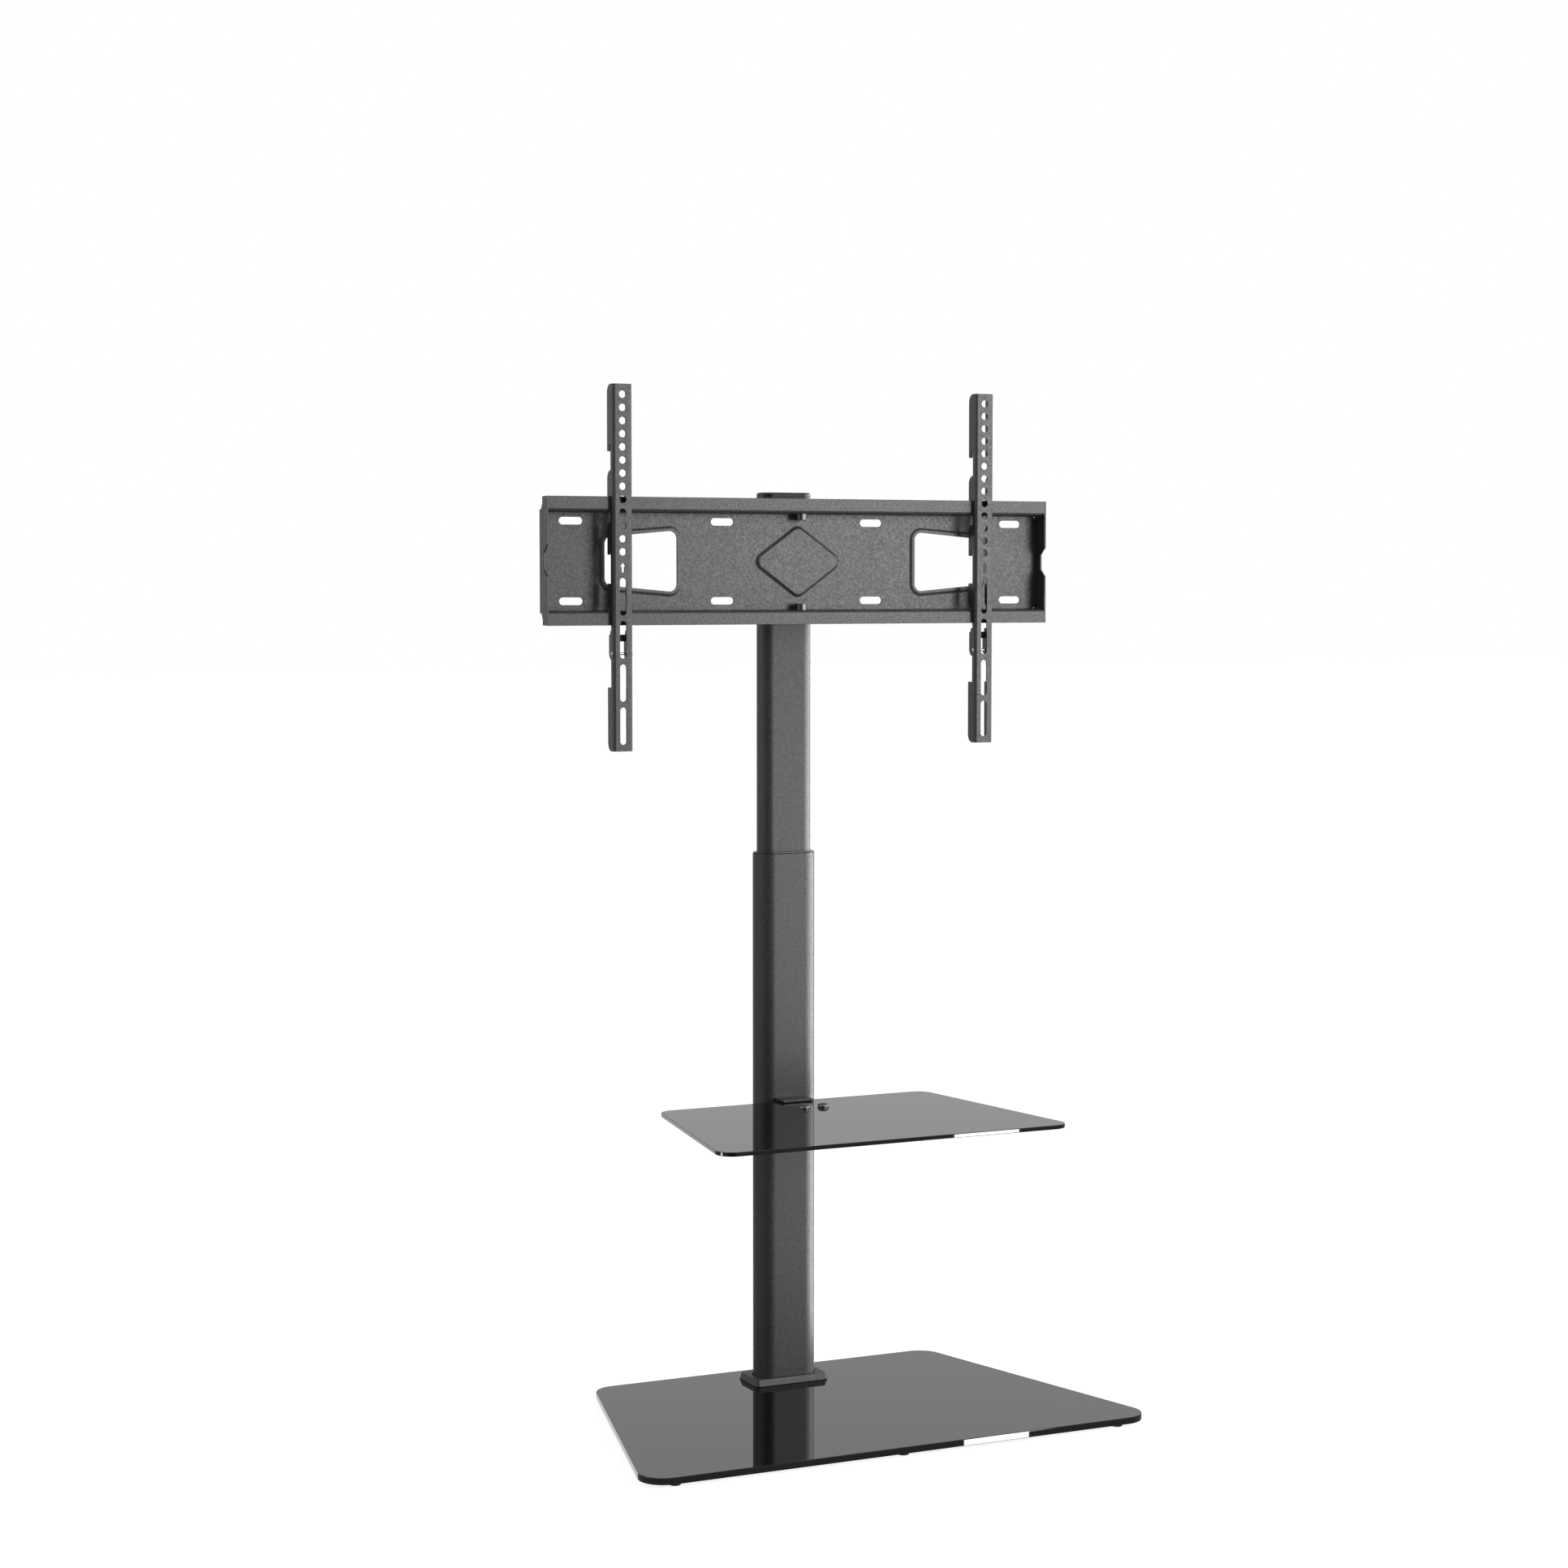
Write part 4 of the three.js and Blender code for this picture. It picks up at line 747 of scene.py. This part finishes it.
def cheek(front):
    """Corners of a cheek, with three hooks and a block that stands in the plate's hollow."""
    slit_tops = [PLATE_TOP + GAP + step * HOOK_PITCH for step in (1, 0, -1)]
    tail_round = CHEEK_BACK - CHEEK_NECK - GAP
    hooks = []
    for i, top in enumerate(slit_tops):
        hooks += [
            (CHEEK_BACK, top - HOOK_LENGTH, HOOK_ROUND),
            (HOOK_FRONT, top - HOOK_LENGTH, HOOK_ROUND),
            (HOOK_FRONT, top, 0),
            (CHEEK_NECK, top, 0),
        ]
        if i < len(slit_tops) - 1:
            hooks += [(CHEEK_NECK, top - HOOK_NECK, 0), (CHEEK_BACK, top - HOOK_NECK, tail_round)]
    return [
        (front, ARM_TOP, 0),
        (CHEEK_BACK, ARM_TOP, CHEEK_CORNER),
        *hooks,
        (CHEEK_NECK, BLOCK_TOP, 0),
        (CHEEK_BACK, BLOCK_TOP, HOOK_ROUND),
        (CHEEK_BACK, BLOCK_BOTTOM, tail_round),
        (CHEEK_NECK, BLOCK_BOTTOM, 0),
        (CHEEK_NECK, LOWER_CHEEK_TOP, 0),
        (CHEEK_BACK, LOWER_CHEEK_TOP, HOOK_ROUND),
        (CHEEK_BACK, ARM_BOTTOM, CHEEK_CORNER),
        (front, ARM_BOTTOM, 0),
    ]


def arrow():
    """An arrow that points up, cut in the arm's face below the holes."""
    top = ARM_TOP - ARROW_TOP
    half_head, half_shaft = ARROW_HEAD[0] / 2, ARROW_SHAFT / 2
    neck, foot = top - ARROW_HEAD[1], top - ARROW_HEIGHT
    left = [(0, top, 0), (-half_head, neck, 0), (-half_shaft, neck, 0), (-half_shaft, foot, 0)]
    return left + [(-x, z, radius) for x, z, radius in left[:0:-1]]


def arm_solid():
    """The folded face and bends of the arm, with a cheek on each side that starts inside the bends."""
    middle = ARM_STEEL / 2
    bend_back = ARM_INNER + 2 * BEND
    channel = folded_sheet([
        (middle - ARM_HALF, bend_back),
        (middle - ARM_HALF, ARM_FRONT + middle),
        (ARM_HALF - middle, ARM_FRONT + middle),
        (ARM_HALF - middle, bend_back),
    ], ARM_STEEL, BEND, 0)
    corners = cheek(bend_back - BEND / 2)
    cheeks = [slab("x", corners, x, x + ARM_STEEL) for x in (-ARM_HALF, ARM_HALF - ARM_STEEL)]
    body = added(slab("z", channel, ARM_BOTTOM, ARM_TOP), *cheeks)
    levels = [ARM_TOP - ARM_FIRST_HOLE - i * ARM_HOLE_PITCH for i in range(ARM_HOLE_COUNT)]
    openings = [disc(ARM_HOLE, 0, level) for level in levels]
    for i in range(ARM_SLOT_COUNT):
        centre = ARM_TOP - ARM_FIRST_SLOT - i * ARM_SLOT_PITCH - ARM_SLOT[1] / 2
        openings.append(round_ended(*ARM_SLOT, 0, centre))
    openings.append(arrow())
    cutters = [opening("y", hole, ARM_FRONT, ARM_INNER, steps=HOLE_TURN) for hole in openings]
    return cut(body, *cutters, pin_hole())


def pin_hole():
    """A cutter for the pin's hole across the arm and its latch."""
    points = circle(PIN_Y, PIN_LEVEL, PIN_DIAMETER + 2 * PIN_GAP)
    return prism("x", points, -2 * ARM_HALF, 2 * ARM_HALF)


def latch_solid():
    """Two cheeks joined by a web, with a beak that catches behind the plate's lower lip."""
    half = ARM_HALF - ARM_STEEL - GAP
    front = ARM_INNER + BEND / 2
    beak_back = HOOK_FRONT + BEAK_THICKNESS

    def lean(level):
        return front + (level - PIN_LEVEL) * LATCH_LEAN_SHARE

    corners = [
        (front, LATCH_BOTTOM, LATCH_ROUNDS[0]),
        (LATCH_BACK, LATCH_BOTTOM, LATCH_ROUNDS[1]),
        (LATCH_BACK, LATCH_BODY_TOP, HOOK_ROUND),
        (beak_back, LATCH_BODY_TOP, 0),
        (beak_back, LATCH_TIP, HOOK_ROUND),
        (HOOK_FRONT, LATCH_TIP, HOOK_ROUND),
        (HOOK_FRONT, LATCH_BODY_TOP, 0),
        (lean(LATCH_BODY_TOP), LATCH_BODY_TOP, 0),
        (front, PIN_LEVEL, 0),
    ]
    cheeks = [slab("x", corners, x, x + LATCH_STEEL) for x in (-half, half - LATCH_STEEL)]
    web_bottom = LATCH_BODY_TOP - LATCH_WEB
    web = slab("x", [
        (lean(web_bottom), web_bottom, EDGE),
        (lean(web_bottom) + LATCH_STEEL, web_bottom, EDGE),
        (lean(LATCH_BODY_TOP) + LATCH_STEEL, LATCH_BODY_TOP, EDGE),
        (lean(LATCH_BODY_TOP), LATCH_BODY_TOP, EDGE),
    ], GAP - half, half - GAP, EDGE / 2)
    return cut(added(web, *cheeks), pin_hole())


def pin_solid():
    """A pin with a domed rivet head at each end."""
    head, rise = PIN_HEAD
    end = ARM_HALF + PIN_GAP
    angles = quarter(PIN_DOME_STEPS)[:-1]
    dome = [(head / 2 * math.cos(a), end + rise * math.sin(a)) for a in angles]
    upper = [(PIN_DIAMETER / 2, end), *dome]
    lower = [(radius, -height) for radius, height in reversed(upper)]
    pin = turned([(0, -end - rise), *lower, *upper, (0, end + rise)])
    return placed(pin, (0, PIN_Y, PIN_LEVEL), (1, 0, 0))


def add_arms():
    arm, latch, pin = arm_solid(), latch_solid(), pin_solid()
    for side, sign in SIDES:
        place = (sign * ARM_X, 0, 0)
        piece(f"arm_{side}_channel", placed(arm, place), "powder_coat", f"arm_{side}")
        piece(f"latch_{side}_lever", placed(latch, place), "black_steel", f"latch_{side}")
        piece(f"latch_{side}_rivet", placed(pin, place), "zinc", f"latch_pin_{side}")


# Tubes, cap, bushing, collar and feet

OUTER_TUBE = (80, 40)
INNER_TUBE = (70, 30)
TUBE_WALL = 1.5
FOOT_PLATE = 8
NUT_FLATS = 13
LOCK_BOLT = 8
LOCK_NUT_HEIGHT = 6.5
RIVET_NUT = 9
BASE_BOLT = 6
TUBE_BOLT = (8, 13, 5)  # diameter of the shank, then diameter and height of the head
CAP_ROUND = 3
CAP_HEIGHT = 4
BUSHING_LIP = (1.5, 0.6)  # height, and how far it stays inside the tube's outline
COLLAR = (100, 54, 6)  # width, depth, and the radius of its corners
COLLAR_BEVEL = 3
COLLAR_SLIT = 1
FOOT_ROUND = 0.8


def tube_size(size, wall):
    """Width and depth of a tube's section, smaller by a wall on each side."""
    return size[0] - 2 * wall, size[1] - 2 * wall


def hexagon(flats, x=0, y=0):
    """Corners of a hexagon, with hardly rounded edges."""
    radius = flats / math.sqrt(3)
    angles = [math.pi / 3 * i for i in range(6)]
    return [(x + radius * math.cos(a), y + radius * math.sin(a), EDGE) for a in angles]


def open_tube(size, low, high):
    """A flat-oval tube that is open at both ends."""
    bore = round_ended(*tube_size(size, TUBE_WALL))
    return cut(slab("z", round_ended(*size), low, high), opening("z", bore, low, high))


def add_outer_tube():
    low, high = span("outer_tube")
    face = OUTER_TUBE[1] / 2
    bore = round_ended(*tube_size(OUTER_TUBE, TUBE_WALL))
    foot = prism("z", outline(inset(bore, -TUBE_WALL / 2)), low.z, low.z + FOOT_PLATE)
    nuts, cutters = [], []
    for name in ("upper", "lower"):
        level = middle_of(f"height_lock_bolt_{name}").z
        back = face + LOCK_NUT_HEIGHT
        nuts.append(slab("y", hexagon(NUT_FLATS, 0, level), face - TUBE_WALL / 2, back, 2 * EDGE))
        cutters.append(opening("y", disc(LOCK_BOLT + 2 * GAP, 0, level), face - TUBE_WALL, back))
    for side, _ in SIDES:
        place = middle_of(f"rivet_nut_{side}")
        hole = disc(RIVET_NUT + 2 * GAP, place.x, place.z)
        cutters.append(opening("y", hole, -face, TUBE_WALL - face))
    for bolt in BASE_BOLTS:
        place = middle_of(bolt)
        hole = circle(place.x, place.y, BASE_BOLT + 2 * GAP)
        cutters.append(prism("z", hole, low.z - OVERRUN, low.z + FOOT_PLATE + OVERRUN))
    body = added(open_tube(OUTER_TUBE, low.z, high.z), foot, *nuts)
    piece("outer_tube_column", cut(body, *cutters), "powder_coat", "outer_tube")


def add_inner_tube():
    low, high = span("inner_tube")
    face = INNER_TUBE[1] / 2
    cutters = []
    for name in ("upper", "lower"):
        hole = disc(TUBE_BOLT[0] + 2 * GAP, 0, middle_of(f"tube_nut_{name}").z)
        for wall in (-face, face - TUBE_WALL):
            cutters.append(opening("y", hole, wall, wall + TUBE_WALL))
    tube = cut(open_tube(INNER_TUBE, low.z, high.z), *cutters)
    piece("inner_tube_mast", tube, "powder_coat", "inner_tube")


def add_tube_cap():
    """The cap's crown rises in a round from the tube's outline, and its plug goes into the tube."""
    low, high = span("tube_cap")
    edge = high.z - CAP_HEIGHT
    rim = [(side, level) for side, level in rounds(edge, edge + 2 * EDGE, EDGE) if level < edge + EDGE]
    crown = []
    for angle in quarter(CROWN_STEPS):
        crown.append((CAP_ROUND * (1 - math.cos(angle)), high.z - CAP_ROUND * (1 - math.sin(angle))))
    shape = round_ended(*INNER_TUBE)
    body = loft("z", [(outline(inset(shape, side)), level) for side, level in rim + crown])
    plug = slab("z", round_ended(*tube_size(INNER_TUBE, TUBE_WALL + GAP)), low.z, edge + EDGE)
    piece("tube_cap_crown", added(body, plug), "black_plastic", "tube_cap")


def add_bushing():
    """A sleeve in the column's mouth, with a lip whose edges are rounded."""
    low, high = span("tube_bushing")
    height, side = BUSHING_LIP
    rim = round_ended(*tube_size(OUTER_TUBE, side))
    lip = slab("z", rim, high.z - height, high.z, height / 2 - EDGE / 4)
    fitted = round_ended(*tube_size(OUTER_TUBE, TUBE_WALL + GAP))
    sleeve = prism("z", outline(fitted), low.z, high.z - height / 2)
    bore = opening("z", round_ended(*tube_size(INNER_TUBE, -GAP)), low.z, high.z)
    piece("tube_bushing_sleeve", cut(added(lip, sleeve), bore), "black_plastic", "tube_bushing")


def add_collar():
    low, high = span("base_collar")
    levels = [
        (EDGE, low.z),
        (0, low.z + EDGE),
        (COLLAR_BEVEL - EDGE, high.z - EDGE),
        (COLLAR_BEVEL, high.z - EDGE / 4),
        (COLLAR_BEVEL + 2 * EDGE, high.z),
    ]
    corners = rectangle(*COLLAR)
    block = loft("z", [(outline(inset(corners, side)), level) for side, level in levels])
    hole = opening("z", round_ended(*tube_size(OUTER_TUBE, -COLLAR_SLIT)), low.z, high.z)
    piece("base_collar_ring", cut(block, hole), "grained_plastic", "base_collar")


def lathed(corners):
    """A turned piece, from a profile with corners (radius, height, round)."""
    return turned([tuple(point) for point in outline(corners, EDGE_TURN)])


def add_feet():
    for name in ("front_left", "front_middle", "front_right", "back_left", "back_right"):
        low, high = span(f"foot_{name}")
        centre = (low + high) / 2
        radius = (high.x - low.x) / 2
        profile = [(0, low.z, 0), (radius, low.z, FOOT_ROUND), (radius, high.z, EDGE), (0, high.z, 0)]
        piece(f"foot_{name}_pad", placed(lathed(profile), (centre.x, centre.y, 0)), "rubber", f"foot_{name}")


# Screws and nuts, with their seat at the origin

HEX_SOCKET = 4
DOME_SOCKET = 5
SCREW_EDGE = 0.7
SWIVEL_HEAD = (15, 8)  # diameter and height
BRACKET_BOLT = (6, 10, 6)  # diameter of the shank, then diameter and height of the head
SHELF_BOLT = (8, 14, 4.4)  # the same
LOCK_HEAD_HEIGHT = 5.3
DOME_STEPS = 10
DOME_RIM_SHARE = 1 / 6  # of the head's height
DOME_FLOOR_SHARE = 1 / 3  # of the head's height, between its seat and its socket
DOME_CROWN_SHARE = 1 / 4  # of the head's diameter, as the radius of its flat crown
NUT_FACE_SHARE = 0.96  # of its width across flats, as the diameter of its turned face
NUT_CHAMFER = math.radians(30)


def socket(flats, low, high):
    """A cutter for a hexagon socket with a chamfered mouth at its lower level."""
    corner = flats / math.sqrt(3)
    mouth = corner + EDGE
    cone = turned([(0, low - OVERRUN), (mouth, low - OVERRUN), (mouth, low), (0, low + mouth)])
    return added(prism("z", outline(hexagon(flats), EDGE_TURN), low - OVERRUN, high), cone)


def cap_screw(diameter, head_diameter, head_height, length):
    """A screw with its round head below the seat and its shank above it."""
    profile = [
        (0, -head_height, 0),
        (head_diameter / 2, -head_height, SCREW_EDGE),
        (head_diameter / 2, 0, EDGE),
        (diameter / 2, 0, 0),
        (diameter / 2, length, SCREW_EDGE),
        (0, length, 0),
    ]
    return cut(lathed(profile), socket(HEX_SOCKET, -head_height, -head_height / 2))


def domed_screw(diameter, head_diameter, head_height, length):
    """A screw with its domed head below the seat and its shank above it."""
    rim, crown = head_height * DOME_RIM_SHARE, head_diameter * DOME_CROWN_SHARE
    dome = []
    for angle in reversed(quarter(DOME_STEPS)):
        out = crown + (head_diameter / 2 - crown) * math.cos(angle)
        dome.append((out, -rim - (head_height - rim) * math.sin(angle)))
    shank = [(head_diameter / 2 - EDGE / 2, 0), (diameter / 2, 0), (diameter / 2, length), (0, length)]
    screw = turned([(0, -head_height), *dome, (head_diameter / 2, -EDGE / 2), *shank])
    return cut(screw, socket(DOME_SOCKET, -head_height, -head_height * DOME_FLOOR_SHARE))


def hexagon_block(flats, height, chamfered_foot=True):
    """A hexagon whose corners are turned off at its ends."""
    corner = flats / math.sqrt(3)
    face = flats / 2 * NUT_FACE_SHARE
    chamfer = (corner - face) * math.tan(NUT_CHAMFER)
    foot = [(face, 0), (corner + EDGE, chamfer)] if chamfered_foot else [(corner + EDGE, 0)]
    blank = turned([(0, 0), *foot, (corner + EDGE, height - chamfer), (face, height), (0, height)])
    bar = prism("z", outline(hexagon(flats), EDGE_TURN), -OVERRUN, height + OVERRUN)
    return combined(blank, [bar], "INTERSECT")


def hex_nut(flats, height, bore):
    return cut(hexagon_block(flats, height), opening("z", disc(bore), 0, height, steps=HOLE_TURN))


def add_screw(node, screw, seat, direction):
    piece(f"{node}_screw", placed(screw, seat, direction), "black_screw", node)


def add_swivel_screws():
    diameter, height = SWIVEL_HEAD
    for name, up in (("swivel_bolt_top", 1), ("swivel_bolt_bottom", -1)):
        low, high = span(name)
        seat = low.z + height if up > 0 else high.z - height
        screw = cap_screw(SWIVEL_BOLT, diameter, height, high.z - low.z - height)
        add_screw(name, screw, (0, SWIVEL_Y, seat), (0, 0, up))


def add_level_screws(names, sizes):
    """Cap screws that run backwards."""
    for name in names:
        low, high = span(name)
        centre = (low + high) / 2
        height = sizes[2]
        screw = cap_screw(*sizes, high.y - low.y - height)
        add_screw(name, screw, (centre.x, low.y + height, centre.z), (0, 1, 0))


def add_shelf_bolts():
    for name in ("shelf_bolt_left", "shelf_bolt_right"):
        low, high = span(name)
        centre = (low + high) / 2
        height = SHELF_BOLT[2]
        screw = domed_screw(*SHELF_BOLT, high.z - low.z - height)
        add_screw(name, screw, (centre.x, centre.y, high.z - height), (0, 0, -1))


def add_lock_bolts():
    for name in ("height_lock_bolt_upper", "height_lock_bolt_lower"):
        low, high = span(name)
        length = high.y - low.y
        radius, end = LOCK_BOLT / 2, length - GAP
        shank = lathed([(0, 0, 0), (radius, 0, SCREW_EDGE), (radius, end, 0), (0, end, 0)])
        head = hexagon_block(NUT_FLATS, LOCK_HEAD_HEIGHT, False)
        bolt = added(shank, placed(head, (0, 0, length - LOCK_HEAD_HEIGHT)))
        add_screw(name, bolt, (0, low.y, middle_of(name).z), (0, 1, 0))


def add_nuts():
    """Upright nuts at the shelf and the swivel, and level ones behind the inner tube."""
    bore = SWIVEL_BOLT + 2 * GAP
    upright = ["shelf_nut_left", "shelf_nut_right", "swivel_nut_top", "swivel_nut_bottom"]
    for name in [*upright, "tube_nut_upper", "tube_nut_lower"]:
        low, high = span(name)
        centre = (low + high) / 2
        if name in upright:
            nut = placed(hex_nut(NUT_FLATS, high.z - low.z, bore), (centre.x, centre.y, low.z))
        else:
            nut = placed(hex_nut(NUT_FLATS, high.y - low.y, bore), (centre.x, low.y, centre.z), (0, 1, 0))
        piece(f"{name}_hexagon", nut, "zinc", name)


add_mount_plate()
add_arms()
add_outer_tube()
add_inner_tube()
add_tube_cap()
add_bushing()
add_collar()
add_feet()
add_swivel_screws()
add_level_screws(["tube_bolt_upper", "tube_bolt_lower"], TUBE_BOLT)
add_level_screws(["bracket_bolt_left", "bracket_bolt_right"], BRACKET_BOLT)
add_shelf_bolts()
add_lock_bolts()
add_nuts()


# CAD nodes that stay: welded, with small edge rounds and their finish

WELD = 0.000002  # metres
FLAT = math.radians(0.5)  # faces that meet at less than this become one
DRESSED_EDGE = 0.0003  # metres


def dress(node):
    """Gives a CAD node its finish, and rounds its edges."""
    obj = nodes[node]
    mesh = obj.data
    if "custom_normal" in mesh.attributes:
        mesh.attributes.remove(mesh.attributes["custom_normal"])
    mesh.shade_smooth()
    for slot in obj.material_slots:
        slot.material = FINISHES[slot.material.name.split(".")[0]]
    weld = obj.modifiers.new("weld", "WELD")
    weld.merge_threshold = WELD
    flat = obj.modifiers.new("flat", "DECIMATE")
    flat.decimate_type = "DISSOLVE"
    flat.angle_limit = FLAT
    edge = obj.modifiers.new("edge", "BEVEL")
    edge.width = DRESSED_EDGE
    edge.segments = 2
    edge.limit_method = "ANGLE"
    edge.angle_limit = SHARP
    edge.use_clamp_overlap = False
    keep_flat(obj)


replaced_nodes = {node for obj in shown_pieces() for node in obj.get("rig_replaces", [])}
for name in nodes:
    if name not in replaced_nodes:
        dress(name)


# Floor, backdrop and light

def is_ray(tree, kind):
    """1 for the named kind of ray, and 0 for the others."""
    return tree.nodes.new("ShaderNodeLightPath").outputs[f"Is {kind} Ray"]


def between(tree, factor, low, high):
    """Low where the factor is 0, and high where it is 1."""
    node = tree.nodes.new("ShaderNodeMapRange")
    node.inputs["To Min"].default_value = low
    node.inputs["To Max"].default_value = high
    tree.links.new(factor, node.inputs["Value"])
    return node.outputs["Result"]


AMBIENT = 0.35
BACKDROP_IN_GLOSS = 0.74
FLOOR_COLOUR = 0.45
FLOOR_GLOW = 0.87
FLOOR_REACH = 30
LOW_FLOOR = -2  # level of the floor that shows in gloss
LOW_FLOOR_GLOW = 0.3
FAR_FLOOR = -1.9
FAR_FLOOR_CORNERS = [(-0.5, 3), (0.7, 3), (1.8, 20), (-3, 20)]
FAR_FLOOR_GLOW = 1.1
FLAG_COLOUR = 0.02
FLAG_AZIMUTH = -26
FLAG_DISTANCE = 4.4
FLAG_HEIGHT = 1.2
FLAG_HALF_WIDTH = 2.2
FLAG_HALF_HEIGHT = 2.15


def add_world():
    """A backdrop that is white to the camera and greyer in gloss."""
    world = bpy.data.worlds.new("studio")
    world.use_nodes = True
    scene.world = world
    tree = world.node_tree
    background = tree.nodes["Background"]
    background.inputs["Color"].default_value = (1, 1, 1, 1)
    strength = tree.nodes.new("ShaderNodeMath")
    strength.operation = "MAXIMUM"
    gloss = between(tree, is_ray(tree, "Glossy"), AMBIENT, BACKDROP_IN_GLOSS)
    tree.links.new(gloss, strength.inputs[0])
    tree.links.new(is_ray(tree, "Camera"), strength.inputs[1])
    tree.links.new(strength.outputs[0], background.inputs["Strength"])


def matt(name, colour, glow=0.0):
    """A plain finish without gloss, for the studio."""
    material, _, shader = new_material(name)
    shader.inputs["Base Color"].default_value = (colour, colour, colour, 1)
    shader.inputs["Roughness"].default_value = 1.0
    shader.inputs["Specular IOR Level"].default_value = 0.0
    shader.inputs["Emission Color"].default_value = (1, 1, 1, 1)
    shader.inputs["Emission Strength"].default_value = glow
    return material


def plane(name, corners, material):
    mesh = bpy.data.meshes.new(name)
    mesh.from_pydata(corners, [], [tuple(range(len(corners)))])
    mesh.materials.append(material)
    obj = bpy.data.objects.new(name, mesh)
    scene.collection.objects.link(obj)
    return obj


def card_in_gloss(name, corners, material):
    """A card that only shows in gloss."""
    card = plane(name, corners, material)
    card.visible_camera = False
    card.visible_diffuse = False
    card.visible_shadow = False


def square(reach, level):
    return [(-reach, -reach, level), (reach, -reach, level), (reach, reach, level), (-reach, reach, level)]


def add_floor():
    """A plain pale floor that keeps the object's shadow, and two darker ones that only show in gloss."""
    material = matt("floor_finish", FLOOR_COLOUR)
    tree = material.node_tree
    glow = between(tree, is_ray(tree, "Camera"), 0.0, FLOOR_GLOW)
    tree.links.new(glow, tree.nodes["Principled BSDF"].inputs["Emission Strength"])
    floor = plane("floor", square(FLOOR_REACH, 0), material)
    floor.visible_glossy = False
    floor.visible_shadow = False
    material = matt("floor_in_gloss_finish", 0.0, LOW_FLOOR_GLOW)
    card_in_gloss("floor_in_gloss", square(FLOOR_REACH, LOW_FLOOR), material)
    material = matt("far_floor_in_gloss_finish", 0.0, FAR_FLOOR_GLOW)
    card_in_gloss("far_floor_in_gloss", [(x, y, FAR_FLOOR) for x, y in FAR_FLOOR_CORNERS], material)


def around(azimuth, distance, level):
    """A place round the object: 0 degrees is in front of it, and 90 is on its right."""
    angle = math.radians(azimuth)
    return (distance * math.sin(angle), -distance * math.cos(angle), level)


def add_flag():
    """A dark card behind the camera, which only shows in gloss."""
    angle = math.radians(FLAG_AZIMUTH)
    centre = Vector(around(FLAG_AZIMUTH, FLAG_DISTANCE, FLAG_HEIGHT))
    across = Vector((math.cos(angle), math.sin(angle), 0)) * FLAG_HALF_WIDTH
    up = Vector((0, 0, FLAG_HALF_HEIGHT))
    corners = [centre - across - up, centre + across - up, centre + across + up, centre - across + up]
    card_in_gloss("flag", [tuple(corner) for corner in corners], matt("flag_finish", FLAG_COLOUR))


def lamp(name, azimuth, distance, level, target, size, power):
    """A soft rectangular lamp that points to the target. Its size is its width and height."""
    place = around(azimuth, distance, level)
    data = bpy.data.lights.new(name, "AREA")
    data.energy = power
    data.shape = "RECTANGLE"
    data.size, data.size_y = size
    obj = bpy.data.objects.new(name, data)
    obj.location = place
    obj.rotation_euler = (Vector(target) - Vector(place)).to_track_quat("-Z", "Y").to_euler()
    obj.visible_camera = False
    scene.collection.objects.link(obj)
    return obj


def link(light, names, state="INCLUDE"):
    """The lamp lights only the named pieces, or all but those if the state is EXCLUDE."""
    group = bpy.data.collections.new(f"{light.name}_pieces")
    for name in names:
        group.objects.link(bpy.data.objects[name])
    for entry in group.collection_objects:
        entry.light_linking.link_state = state
    light.light_linking.receiver_collection = group


MIDDLE = (0, 0.1, 0.75)
LOW_MIDDLE = (0, 0.1, 0.5)
COLUMN_FRONT = (0, 0, 0.5)
MOUTH = (0, COLUMN_Y, 0.67)
GLASS = ["base_glass_sheet", "shelf_glass_sheet"]
COLUMN = ["outer_tube_column", "inner_tube_mast", "tube_bushing_sleeve", "tube_cap_crown"]


def add_lamps():
    """Broad lamps for most pieces, and lamps of their own for the column and its mouth."""
    key = lamp("key", azimuth=30, distance=3.0, level=1.35, target=MIDDLE, size=(1.2, 1.9), power=56)
    link(key, GLASS + COLUMN, "EXCLUDE")
    column_key = lamp(
        "column_key", azimuth=30, distance=3.0, level=0.5, target=COLUMN_FRONT, size=(1.2, 1.35), power=19.5,
    )
    link(column_key, COLUMN)
    fill = lamp("fill", azimuth=-100, distance=3.0, level=1.4, target=MIDDLE, size=(1.6, 1.6), power=8)
    link(fill, GLASS, "EXCLUDE")
    rim = lamp("rim", azimuth=80, distance=2.6, level=0.5, target=LOW_MIDDLE, size=(3.2, 3.2), power=215)
    link(rim, COLUMN)
    side = lamp("side", azimuth=80, distance=2.6, level=0.8, target=MIDDLE, size=(3.2, 2.4), power=60)
    link(side, GLASS + COLUMN, "EXCLUDE")
    lip = lamp("lip", azimuth=43, distance=1.3, level=2.1, target=MOUTH, size=(0.7, 0.7), power=30)
    link(lip, ["tube_bushing_sleeve"])


def add_strip(name, azimuth, distance, width, bottom, top, power):
    """An upright lamp that lights only the glass, and shows in its edges."""
    middle = (bottom + top) / 2
    strip = lamp(name, azimuth, distance, middle, (0, 0, middle), (width, top - bottom), power)
    link(strip, GLASS)


add_world()
add_floor()
add_lamps()
add_flag()
add_strip("strip_right", azimuth=29.2, distance=2.646, width=0.125, bottom=-1.0, top=0.1, power=13)
add_strip("strip_left", azimuth=-94, distance=3.0, width=0.6, bottom=-0.35, top=0.1, power=14)
